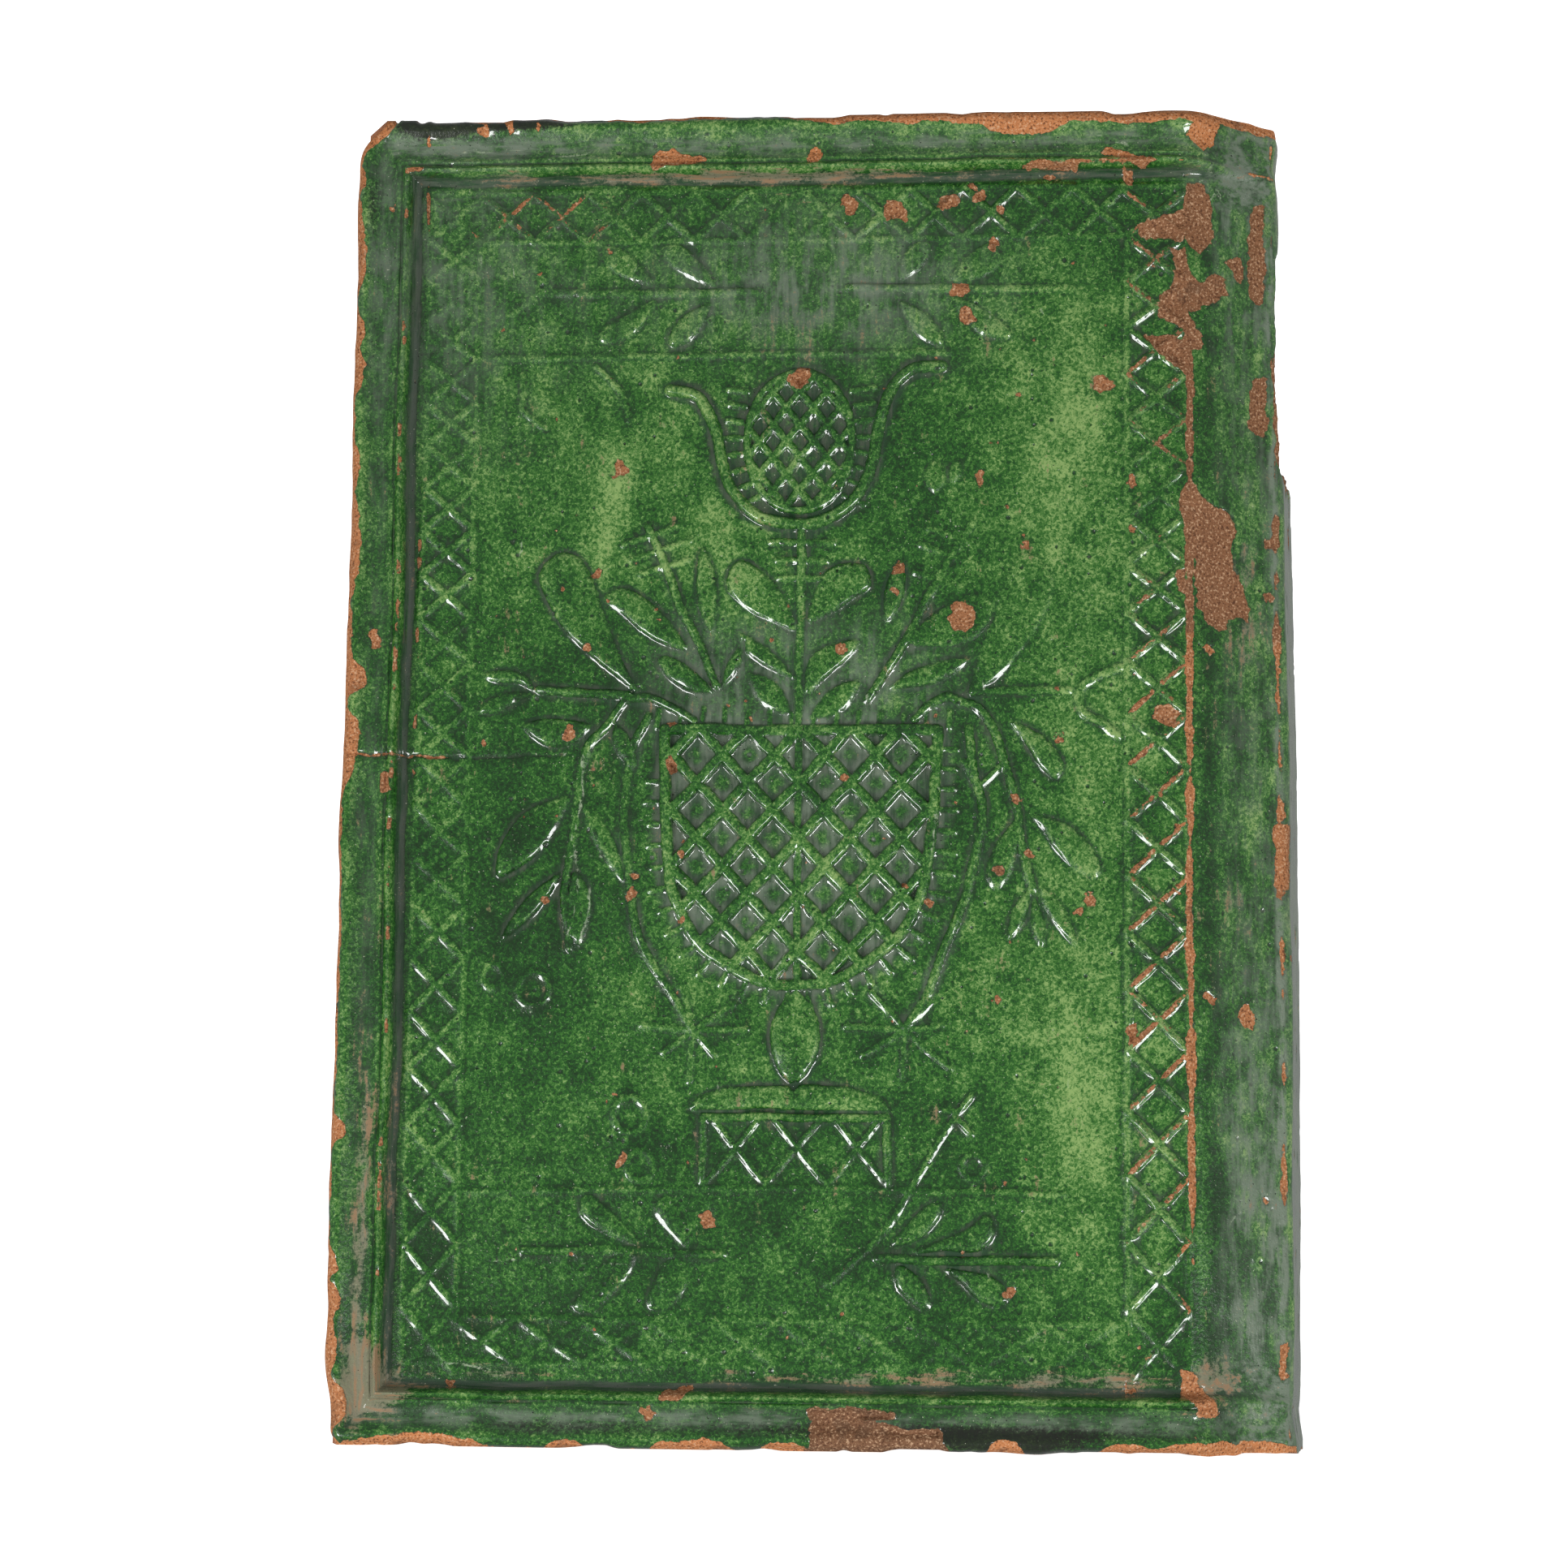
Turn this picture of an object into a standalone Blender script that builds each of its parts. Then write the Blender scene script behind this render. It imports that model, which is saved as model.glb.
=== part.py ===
"""Corner stove tile of glazed earthenware: a moulded face plate with a pressed relief of a vase
with flowers inside a lattice border, a slanting corner band, a side return and an open box behind.

Axes: +Z up, the face looks along -Y, the corner is at +X. Origin: middle of the bounding box's base.
Relief drawings are given in shares: one share is one 327th of the face's height, about a millimetre.
"""

import math

import bmesh
import bpy
import numpy as np
from mathutils import Vector, geometry

# Face plate
FACE_HEIGHT = 0.3270
FACE_LEFT = 0.1118  # from the vase's axis to the left edge
ARRIS_X = 0.0955  # from the axis to the arris where the corner band starts
BAND_RUN_FOOT = 0.0223  # from that arris to the outer arris at the foot, in the front view
BAND_RUN_HEAD = 0.0200  # the same at the head: the old mould leans a little
BAND_TURN = math.radians(32.6)  # how far the corner band turns back from the face
PLATE_WALL = 0.0095  # thickness behind the sunken field
EDGE_ROUND = 0.0030  # rounding of the two left corners in the front view
EDGE_ROUND_STEPS = 3

# Moulded frame: distance from the edge to the crest of the inner ridge, and its heights
RIDGE_IN_LEFT = 0.0136
RIDGE_IN_HEAD = 0.0134
RIDGE_IN_FOOT = 0.0118
RIM_HEIGHT = 0.0048
RIM_EDGE_HEIGHT = 0.0025
HOLLOW_HEIGHT = 0.0027
RIDGE_HEIGHT = 0.0045
GROOVE_DEPTH = 0.0006
GROOVE_IN = 0.0023  # ridge crest to groove
FIELD_IN = 0.0042  # ridge crest to the flat field
FRAME_FADE = 0.0120  # the frame dies out over this width of the corner band
FRAME_FADE_LEFT = 0.25  # share of the frame's height that reaches the outer arris

# Lattice border: two ruled rectangles with crossed bars between them
BORDER_IN_LEFT = 0.0178  # from the left edge to the outer rectangle
BORDER_IN_RIGHT = 0.0018  # from the arris
BORDER_IN_FOOT = 0.0196
BORDER_IN_HEAD = 0.0186
BORDER_BAND_LEFT = 0.0128  # from the outer rectangle to the inner one
BORDER_BAND_RIGHT = 0.0145
BORDER_BAND_FOOT = 0.0106
BORDER_BAND_HEAD = 0.0128
CROSSES_HEAD, CROSSES_FOOT = 12, 10
CROSSES_LEFT, CROSSES_RIGHT = 23, 21
CROSS_GROWTH = 1.35  # the lowest cross of a side band is this much taller than the highest
BORDER_WIDTH, BORDER_HEIGHT = 0.0020, 0.0009

# Side return and rump
DEPTH = 0.0780  # from the field of the face back to the rim of the rump
RETURN_SPLAY = math.radians(5.0)  # the corner is a little over a right angle
RETURN_WALL = 0.0090
RETURN_TUCK = 0.0004  # the return starts this far inside the outer arris
RETURN_MOULD = 0.0120  # width of the return's own frame
RETURN_RIM_HEIGHT = 0.0008
RETURN_HOLLOW_DEPTH = 0.0006
RETURN_BOW = 0.0014  # the return swells by this at half its height
RETURN_BOW_ROWS = 5
RUMP_SETBACK = 0.0120  # how far the box's walls stand in from the face's edges
RUMP_WALL = 0.0080
RUMP_CORNER = 0.0080
RUMP_CORNER_STEPS = 3
RUMP_LIP = 0.0025  # the box's rim is thicker by this
RUMP_LIP_DEPTH = 0.0070

# Breakage on the return: a flake lost from its upper part
BREAK_FOOT = 0.2390
BREAK_DEPTH = 0.0045
BREAK_START = 0.0025  # behind the outer arris
BREAK_HEAD_START = 0.0120  # the same at the very top
BREAK_STEPS = 7
BREAK_ROUGHNESS = 0.0014

# Relief strokes, foot width and height
STEM_WIDTH, STEM_HEIGHT = 0.0022, 0.0011
FINE_WIDTH, FINE_HEIGHT = 0.0016, 0.0008
BOLD_WIDTH, BOLD_HEIGHT = 0.0028, 0.0015
LEAF_HEIGHT = 0.0012
LEAF_BEVEL = 0.36  # share of a leaf's half width taken by its sloping side
LEAF_SIDE_POINTS = 3

SHARE = FACE_HEIGHT / 327
CDT_STEP = 0.004  # points closer than this, in millimetres, become one
GLAZE_COLOUR = (0.035, 0.155, 0.030, 1.0)
GLAZE_ROUGHNESS = 0.22


class Relief:
    """Raised shapes drawn on a sheet: the crease lines that its mesh must hold, and its heights."""

    def __init__(self):
        self.lines = []
        self.ridges = []
        self.pads = []

    def ridge(self, points, width, height, closed=False):
        """A bar with a roof-shaped section along a chain of points."""
        chain = [Vector(p) for p in points]
        half = width / 2
        count = len(chain)
        sides = []
        for i, here in enumerate(chain):
            before = chain[i - 1] if i or closed else None
            after = chain[(i + 1) % count] if i < count - 1 or closed else None
            ways = [(b - a).normalized() for a, b in ((before, here), (here, after)) if a and b]
            along = sum(ways, Vector((0, 0))).normalized()
            across = Vector((-along.y, along.x))
            mitre = half / max(across.dot(Vector((-ways[0].y, ways[0].x))), 0.5)
            sides.append((here + across * mitre, here - across * mitre))
        left = [s[0] for s in sides]
        right = [s[1] for s in sides]
        if closed:
            self.lines += [left + left[:1], right + right[:1], chain + chain[:1]]
        else:
            for end, inner in ((0, 1), (-1, -2)):
                past = (chain[end] - chain[inner]).normalized() * half
                left[end], right[end] = left[end] + past, right[end] + past
            self.lines += [left + right[::-1] + left[:1], chain]
        ring = chain + chain[:1] if closed else chain
        self.ridges.append((np.array([tuple(p) for p in ring]), half, height))

    def pad(self, outline, middle, height):
        """A raised shape with sloping sides: middle is its centre line, which the outline's points face."""
        inner = [o.lerp(m, LEAF_BEVEL) for o, m in zip(outline, middle)]
        self.lines += [outline + outline[:1], inner + inner[:1]]
        self.pads.append((outline, inner, height))

    def heights(self, points):
        """The height of each point: that of the highest shape over it."""
        result = np.zeros(len(points))
        for chain, half, height in self.ridges:
            away = np.full(len(points), np.inf)
            for a, b in zip(chain[:-1], chain[1:]):
                along = b - a
                share = np.clip(((points - a) @ along) / (along @ along), 0, 1)
                away = np.minimum(away, np.linalg.norm(points - a - share[:, None] * along, axis=1))
            result = np.maximum(result, height * np.clip(1 - away / half, 0, 1))
        for outline, inner, height in self.pads:
            for i, point in enumerate(points):
                result[i] = max(result[i], pad_height(point, outline, inner, height))
        return result


def pad_height(point, outline, inner, height):
    """The height of a pad over a point: full inside its inner ring, sloping to nothing at its outline."""
    here = Vector(point)
    low = Vector((min(p.x for p in outline), min(p.y for p in outline)))
    high = Vector((max(p.x for p in outline), max(p.y for p in outline)))
    if not (low.x <= here.x <= high.x and low.y <= here.y <= high.y):
        return 0.0
    count = len(outline)
    for i in range(count):
        a, b = outline[i], outline[(i + 1) % count]
        c, d = inner[(i + 1) % count], inner[i]
        for tri, at in (((a, b, c), (0, 0, 1)), ((a, c, d), (0, 1, 1))):
            if geometry.intersect_point_tri_2d(here, *tri):
                area = [
                    abs((q - here).cross(r - here))
                    for q, r in ((tri[1], tri[2]), (tri[2], tri[0]), (tri[0], tri[1]))
                ]
                whole = sum(area)
                return height * sum(s * h for s, h in zip(area, at)) / whole if whole else height
    return height if inside(here, inner) else 0.0


def inside(point, ring):
    """True if the point lies in the closed ring, by the even-odd rule."""
    odd = False
    for a, b in zip(ring, ring[1:] + ring[:1]):
        if (a.y > point.y) != (b.y > point.y):
            if point.x < a.x + (b.x - a.x) * (point.y - a.y) / (b.y - a.y):
                odd = not odd
    return odd


def on_face(u, v):
    """A point of the drawing, in shares right of the axis and above the foot."""
    return Vector((u * SHARE, v * SHARE))


def smooth_chain(points, steps):
    """More points along a chain, on a smooth curve through the given ones."""
    out = []
    last = len(points) - 1
    for i in range(last):
        a = points[max(i - 1, 0)]
        b, c = points[i], points[i + 1]
        d = points[min(i + 2, last)]
        for k in range(steps):
            t = k / steps
            out.append(
                0.5 * (2 * b + (c - a) * t + (2 * a - 5 * b + 4 * c - d) * t**2 + (3 * b - a - 3 * c + d) * t**3)
            )
    return out + [points[last]]


def stroke(relief, *points, side=1, width=STEM_WIDTH, height=STEM_HEIGHT, steps=1):
    """A drawn line through points in shares; side -1 mirrors it."""
    chain = [on_face(side * u, v) for u, v in points]
    relief.ridge(smooth_chain(chain, steps), width, height)


def leaf(relief, root, tip, width, side=1, bend=0.0, height=LEAF_HEIGHT):
    """A pointed leaf from root to tip; bend bows it to its left, in shares."""
    start, end = on_face(side * root[0], root[1]), on_face(side * tip[0], tip[1])
    along = end - start
    across = Vector((-along.y, along.x)).normalized() * side
    middle, edge = [], []
    for i in range(1, LEAF_SIDE_POINTS + 1):
        t = i / (LEAF_SIDE_POINTS + 1)
        swell = math.sin(math.pi * t**0.85)
        middle.append(start + along * t + across * (bend * SHARE * math.sin(math.pi * t)))
        edge.append(swell * width * SHARE / 2)
    left = [m + across * e for m, e in zip(middle, edge)]
    right = [m - across * e for m, e in zip(middle, edge)]
    relief.pad(
        [start, *left, end, *right[::-1]],
        [middle[0], *middle, middle[-1], *middle[::-1]],
        height,
    )


def clipped(a, b, ring):
    """The stretch of the line from a to b inside a convex ring, or None."""
    low, high = 0.0, 1.0
    way = b - a
    centre = sum(ring, Vector((0, 0))) / len(ring)
    for p, q in zip(ring, ring[1:] + ring[:1]):
        normal = Vector((p.y - q.y, q.x - p.x))
        if normal.dot(centre - p) < 0:
            normal = -normal
        speed, start = normal.dot(way), normal.dot(a - p)
        if abs(speed) < 1e-12:
            if start < 0:
                return None
        elif speed > 0:
            low = max(low, -start / speed)
        else:
            high = min(high, -start / speed)
    return (a + way * low, a + way * high) if high - low > 0.03 else None


def lattice(relief, ring, middle, cell_width, cell_height, width, height):
    """Crossed bars in a convex ring: diamonds of the given size, one of them centred on middle."""
    reach = max((p - middle).length for p in ring) * 2
    rows = int(reach / cell_height) + 2
    for lean in (-1, 1):
        way = Vector((lean * cell_width, cell_height)).normalized() * reach
        for k in range(-rows, rows + 1):
            through = middle + Vector((0, (k + 0.5) * cell_height))
            bar = clipped(through - way, through + way, ring)
            if bar and (bar[1] - bar[0]).length > 2 * width:
                relief.ridge(bar, width, height)


def border(relief):
    """The two ruled rectangles and the zigzag bars that cross between them."""
    outer_left, outer_right = -FACE_LEFT + BORDER_IN_LEFT, ARRIS_X - BORDER_IN_RIGHT
    outer_foot, outer_head = BORDER_IN_FOOT, FACE_HEIGHT - BORDER_IN_HEAD
    inner_left, inner_right = outer_left + BORDER_BAND_LEFT, outer_right - BORDER_BAND_RIGHT
    inner_foot, inner_head = outer_foot + BORDER_BAND_FOOT, outer_head - BORDER_BAND_HEAD
    for left, right, foot, head in (
        (outer_left, outer_right, outer_foot, outer_head),
        (inner_left, inner_right, inner_foot, inner_head),
    ):
        corners = [Vector(p) for p in ((left, foot), (right, foot), (right, head), (left, head))]
        relief.ridge(corners, BORDER_WIDTH, BORDER_HEIGHT, closed=True)

    def zigzags(marks, place):
        for first in (0, 1):
            chain = [place(m, (i + first) % 2) for i, m in enumerate(marks)]
            relief.ridge(chain, BORDER_WIDTH, BORDER_HEIGHT)

    def marks(low, high, count, growth):
        sizes = [growth + (1 - growth) * (i + 0.5) / count for i in range(count)]
        reached, out = 0.0, [low]
        for size in sizes:
            reached += size
            out.append(low + (high - low) * reached / sum(sizes))
        return out

    bands = (
        (CROSSES_HEAD, (inner_head, outer_head)),
        (CROSSES_FOOT, (inner_foot, outer_foot)),
    )
    for count, across in bands:
        row = marks(inner_left, inner_right, count, 1.0)
        zigzags(row, lambda m, side, across=across: Vector((m, across[side])))
    bands = (
        (CROSSES_LEFT, (inner_left, outer_left)),
        (CROSSES_RIGHT, (inner_right, outer_right)),
    )
    for count, across in bands:
        row = marks(outer_foot, outer_head, count, CROSS_GROWTH)
        zigzags(row, lambda m, side, across=across: Vector((across[side], m)))


def friezes(relief):
    """The leafy branches above and below the vase, and the ruled lines beside them."""
    stroke(relief, (-81, 266.5), (36, 266.5), width=STEM_WIDTH)
    stroke(relief, (-81, 60.5), (0, 61.8), (79, 60.8), width=STEM_WIDTH)
    for side in (-1, 1):
        stroke(relief, (11, 282.8), (66, 282.5), side=side)
        stroke(relief, (66, 282.5), (73, 289), side=side, width=FINE_WIDTH, height=FINE_HEIGHT)
        stroke(relief, (66, 282.5), (72, 276), side=side, width=FINE_WIDTH, height=FINE_HEIGHT)
        leaf(relief, (38, 284.5), (50, 294), 5.5, side=side, bend=-1.0)
        leaf(relief, (23, 284.5), (35, 293.5), 5.5, side=side, bend=-1.0)
        leaf(relief, (36, 280.5), (51, 270.5), 7.0, side=side, bend=1.0)
        leaf(relief, (23, 280.5), (34, 269.0), 6.5, side=side, bend=1.0)
        stroke(relief, (18, 45.6), (67, 46), side=side)
        leaf(relief, (37, 48.5), (51, 57.5), 6.0, side=side, bend=1.5)
        leaf(relief, (25, 48.0), (33.5, 58.5), 6.5, side=side, bend=1.0)
        leaf(relief, (39, 43.5), (51, 33.5), 6.0, side=side, bend=-1.0)
        leaf(relief, (27, 43.0), (32, 33.0), 7.5, side=side, bend=-1.5)
    for u, v in ((-55, 265), (-46, 265), (-69, 256)):
        stroke(relief, (u, v), (u + 4.5, v - 7.5), width=FINE_WIDTH, height=FINE_HEIGHT)


def top_flower(relief):
    """The cone-shaped flower with its fringe and the cup under it."""
    centre, half_width, half_height = on_face(-0.5, 244), 13.0, 17.5
    ring = [
        centre + Vector((half_width * SHARE * math.cos(a), half_height * SHARE * math.sin(a)))
        for a in (math.tau * i / 12 for i in range(12))
    ]
    relief.ridge(ring, FINE_WIDTH, STEM_HEIGHT, closed=True)
    lattice(relief, ring, centre, 7.6 * SHARE, 8.6 * SHARE, FINE_WIDTH, STEM_HEIGHT)
    for side in (-1, 1):
        for i in range(8):
            v = 231 + 3.6 * i
            reach = 13.6 * math.sqrt(max(1 - ((v - 244) / half_height) ** 2, 0.0))
            stroke(
                relief,
                (reach * side - 0.5, v),
                ((reach + 4.5) * side - 0.5, v),
                width=FINE_WIDTH,
                height=FINE_HEIGHT,
            )
        lift = 2.5 * side
        stroke(
            relief,
            (0, 223.8),
            (9.5, 226),
            (16.0, 232.5),
            (19.5, 243),
            (22.5, 253 + lift / 2),
            (26.5, 259 + lift),
            (33, 259.5 + lift),
            side=side,
            width=BOLD_WIDTH,
            height=BOLD_HEIGHT,
            steps=2,
        )


def stem_and_leaves(relief):
    """The middle stem, its ticks, and the leaves and ferns that rise from the vase."""
    stroke(relief, (0, 222), (0, 108), height=STEM_HEIGHT * 1.2)
    for v, reach in ((219, 7.5), (214.5, 6.0), (210, 5.0)):
        stroke(relief, (-reach, v), (reach, v), width=FINE_WIDTH, height=FINE_HEIGHT)
    for side in (-1, 1):
        leaf(relief, (1.5, 198), (17.5, 214), 9.0, side=side, bend=2.0)
        leaf(relief, (1.5, 182), (14.5, 196), 8.0, side=side, bend=1.5)
        leaf(relief, (3.5, 177), (18.5, 187), 6.5, side=side, bend=-1.0)
        leaf(relief, (24.5, 194), (22.5, 219), 5.5, side=side)
        leaf(relief, (27, 192.5), (47, 206.5), 9.0, side=side, bend=-1.5)
        leaf(relief, (23, 181), (36, 191), 6.5, side=side, bend=-1.0)
        leaf(relief, (40.5, 182), (58.5, 217), 11.0, side=side, bend=-2.5)
        stroke(relief, (39.5, 223), (34, 212), (28.5, 200), (20, 182), side=side, width=STEM_WIDTH)
        for v, reach in ((220.0, 6.5), (215.0, 6.5), (209.5, 5.5)):
            u = 38 - (220 - v) * 0.5
            stroke(
                relief,
                (u - reach, v + 2.2),
                (u + reach, v - 2.2),
                side=side,
                width=FINE_WIDTH,
                height=FINE_HEIGHT,
            )
        stroke(relief, (42, 180), (66, 181.5), side=side)
        leaf(relief, (66, 182.5), (77.5, 187), 4.0, side=side, bend=1.0)
        leaf(relief, (66, 180.5), (76.5, 173.5), 4.0, side=side, bend=-1.0)
        leaf(relief, (40, 179.5), (25, 177.5), 4.0, side=side, bend=-1.5)
    leaf(relief, (32.5, 231), (32.5, 242), 5.5)


def drooping_branches(relief):
    """The branches that hang down on both sides of the vase."""
    for side in (-1, 1):
        stroke(relief, (41, 179), (46.5, 173.5), (51.5, 165), (53, 151), (56, 136), side=side)
        leaf(relief, (51, 171.5), (66, 173.0), 5.0, side=side, bend=1.0)
        leaf(relief, (48.5, 171), (42, 162.0), 4.0, side=side, bend=-1.5)
        leaf(relief, (56, 156), (73, 140), 9.0, side=side, bend=2.5)
        leaf(relief, (53.5, 153), (44, 139), 6.0, side=side, bend=-1.0)
        leaf(relief, (57, 137), (69, 122), 4.0, side=side)
        leaf(relief, (56, 135), (53, 119), 5.5, side=side)


def vase(relief):
    """The vase: rim, latticed body with its fringe, neck, foot and crossed base, handles and stars."""
    half = [(33.5, 172.5), (33.5, 160), (32, 146), (29.5, 134), (25, 124), (18, 116.5), (9, 111.5)]
    body = [on_face(u, v) for u, v in half]
    body += [on_face(0, 110)] + [on_face(-u, v) for u, v in reversed(half)]
    relief.ridge(body, STEM_WIDTH, BOLD_HEIGHT, closed=True)
    lattice(relief, body, on_face(0, 139.1), 12.4 * SHARE, 13.4 * SHARE, STEM_WIDTH, BOLD_HEIGHT)
    for i in range(14):
        u = -33.5 + 5.15 * i
        stroke(relief, (u, 173.5), (u + 0.8, 177.5), width=FINE_WIDTH, height=FINE_HEIGHT)
    for side in (-1, 1):
        for i in range(10):
            a = math.radians(-6 - 8.4 * i)
            reach_u, reach_v = 35.5 * math.cos(a), 155 + 43.5 * math.sin(a)
            stroke(
                relief,
                (reach_u, reach_v),
                (reach_u + 3.6 * math.cos(a), reach_v + 3.6 * math.sin(a)),
                side=side,
                width=FINE_WIDTH,
                height=FINE_HEIGHT,
            )
        stroke(
            relief,
            (37, 172),
            (42.5, 160),
            (43.5, 149),
            (42, 138),
            (38.5, 125),
            (33, 112),
            (26, 101),
            side=side,
        )
        for degrees, length in ((0, 10), (38, 12), (88, 11), (135, 9), (180, 11), (228, 11), (270, 11), (315, 8)):
            if side < 0 or degrees != 38:
                a = math.radians(degrees)
                stroke(
                    relief,
                    (25.5 - 1.5 * math.cos(a), 99.5 + 1.5 * math.sin(a)),
                    (25.5 - length * math.cos(a), 99.5 + length * math.sin(a)),
                    side=side,
                    width=FINE_WIDTH,
                    height=FINE_HEIGHT,
                )
    leaf(relief, (-0.7, 86.5), (-0.7, 109.5), 12.5)
    foot = [on_face(u, v) for u, v in ((-25, 80.5), (-22, 84.5), (-10, 86.8), (10, 86.8), (21, 84.5), (24, 80.5))]
    spine = [on_face(u, 83) for u in (-20, -18, -8, 8, 17, 19)]
    relief.pad(foot, spine, LEAF_HEIGHT)
    base = [on_face(u, v) for u, v in ((-22.5, 62), (22, 62), (22, 79), (-22.5, 79))]
    relief.ridge(base, STEM_WIDTH, STEM_HEIGHT, closed=True)
    for i in range(3):
        left = -21.5 + 13.8 * i
        for ends in ((63, 78), (78, 63)):
            stroke(relief, (left, ends[0]), (left + 13.6, ends[1]), width=FINE_WIDTH, height=STEM_HEIGHT)
    for u, v, radius in ((-37, 67, 3.2), (-40, 78.5, 3.6), (41.5, 67.5, 2.8)):
        ring = [on_face(u + radius * math.cos(a), v + radius * math.sin(a)) for a in (math.tau * k / 6 for k in range(6))]
        relief.ridge(ring, FINE_WIDTH, FINE_HEIGHT, closed=True)


def frame_knots():
    """The frame's section: (distance in, as a share of the ridge's distance or metres past it, height)."""
    outer = [
        (0.0, RIM_EDGE_HEIGHT),
        (0.11, RIM_HEIGHT),
        (0.30, (RIM_HEIGHT + HOLLOW_HEIGHT) / 2),
        (0.55, HOLLOW_HEIGHT),
        (0.82, (RIDGE_HEIGHT + HOLLOW_HEIGHT) / 2),
        (1.0, RIDGE_HEIGHT),
    ]
    inner = [(GROOVE_IN, -GROOVE_DEPTH), (FIELD_IN, 0.0)]
    return outer, inner


def frame_height(x, z):
    """Height of the moulded frame over the field: a mitred section along the left, head and foot."""
    outer, inner = frame_knots()
    reach = [s for s, _ in outer] + [1 + d / FIELD_IN for d, _ in inner]
    level = [h for _, h in outer + inner]
    steps = []
    for away, ridge_in in ((x + FACE_LEFT, RIDGE_IN_LEFT), (FACE_HEIGHT - z, RIDGE_IN_HEAD), (z, RIDGE_IN_FOOT)):
        steps.append(away / ridge_in if away < ridge_in else 1 + (away - ridge_in) / FIELD_IN)
    fade = np.interp(x, [ARRIS_X - FRAME_FADE / 4, ARRIS_X + FRAME_FADE], [1.0, FRAME_FADE_LEFT])
    return float(np.interp(min(steps), reach, level)) * float(fade)


def corner_x(z):
    """How far right the outer arris stands at a height."""
    return ARRIS_X + BAND_RUN_FOOT + (BAND_RUN_HEAD - BAND_RUN_FOOT) * z / FACE_HEIGHT


def recess(x):
    """How far back the face lies because of the slanting corner band."""
    return max(x - ARRIS_X, 0.0) * math.tan(BAND_TURN)


def face_lines():
    """The face's outline, and the crease lines of its frame and corner band."""
    outer, inner = frame_knots()
    creases, corners_head, corners_foot, levels = [], [], [], []
    for share, past in [(s, 0.0) for s, _ in outer[1:]] + [(1.0, d) for d, _ in inner]:
        left = -FACE_LEFT + share * RIDGE_IN_LEFT + past
        head = FACE_HEIGHT - share * RIDGE_IN_HEAD - past
        foot = share * RIDGE_IN_FOOT + past
        creases.append([Vector(p) for p in ((corner_x(head), head), (left, head), (left, foot), (corner_x(foot), foot))])
        corners_head.append(Vector((left, head)))
        corners_foot.append(Vector((left, foot)))
        levels += [head, foot]
    upright = (ARRIS_X - FRAME_FADE / 4, ARRIS_X, ARRIS_X + FRAME_FADE)
    creases += [[Vector((x, 0.0)), Vector((x, FACE_HEIGHT))] for x in upright]
    outline = [Vector((x, 0.0)) for x in upright]
    outline += [Vector((corner_x(z), z)) for z in [0.0, *sorted(levels), FACE_HEIGHT]]
    outline += [Vector((x, FACE_HEIGHT)) for x in reversed(upright)]
    for centre_z, start in ((FACE_HEIGHT - EDGE_ROUND, math.pi / 2), (EDGE_ROUND, math.pi)):
        centre = Vector((-FACE_LEFT + EDGE_ROUND, centre_z))
        for i in range(EDGE_ROUND_STEPS + 1):
            a = start + math.pi / 2 * i / EDGE_ROUND_STEPS
            outline.append(centre + EDGE_ROUND * Vector((math.cos(a), math.sin(a))))
    return outline, creases + [corners_head, corners_foot]


def sheet(outline, lines):
    """Triangles that fill the outline and hold every line as edges: points in metres, and faces."""
    coords, edges = [], []

    def add(chain):
        first = len(coords)
        coords.extend(p * 1000 for p in chain)
        edges.extend((first + i, first + i + 1) for i in range(len(chain) - 1))

    for chain in lines:
        add(chain)
    first = len(coords)
    coords.extend(p * 1000 for p in outline)
    ring = list(range(first, len(coords)))
    points, _, faces, *_ = geometry.delaunay_2d_cdt(coords, edges, [ring], 1, CDT_STEP)
    return [Vector(p) / 1000 for p in points], faces


def boundary_ring(bm):
    """The boundary vertices of an open mesh, in order."""
    start = next(e for e in bm.edges if e.is_boundary)
    ring, edge, vert = [start.verts[0]], start, start.verts[1]
    while vert is not ring[0]:
        ring.append(vert)
        edge = next(e for e in vert.link_edges if e.is_boundary and e is not edge)
        vert = edge.other_vert(vert)
    return ring


def solid_from_sheet(name, points, faces, front, back, fold=None):
    """A closed solid: front(p) places the sheet and back(p) its rim's copies; the back may bend at x = fold."""
    bm = bmesh.new()
    verts = [bm.verts.new(front(p)) for p in points]
    for face in faces:
        bm.faces.new([verts[i] for i in face])
    place = {v: p for v, p in zip(verts, points)}
    ring = boundary_ring(bm)
    twins = {v: bm.verts.new(back(place[v])) for v in ring}
    for v, w in zip(ring, ring[1:] + ring[:1]):
        bm.faces.new([v, w, twins[w]])
        bm.faces.new([v, twins[w], twins[v]])
    bend = [i for i, v in enumerate(ring) if fold is not None and abs(place[v].x - fold) < 1e-7]
    flat = [place[v] * 1000 for v in ring]
    _, _, backs, marks, *_ = geometry.delaunay_2d_cdt(flat, [bend] if bend else [], [list(range(len(ring)))], 1, 0.0)
    for face in backs:
        bm.faces.new([twins[ring[marks[i][0]]] for i in face])
    bmesh.ops.recalc_face_normals(bm, faces=bm.faces)
    return to_object(name, bm)


def to_object(name, bm):
    mesh = bpy.data.meshes.new(name)
    bm.to_mesh(mesh)
    bm.free()
    obj = bpy.data.objects.new(name, mesh)
    bpy.context.scene.collection.objects.link(obj)
    return obj


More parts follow.
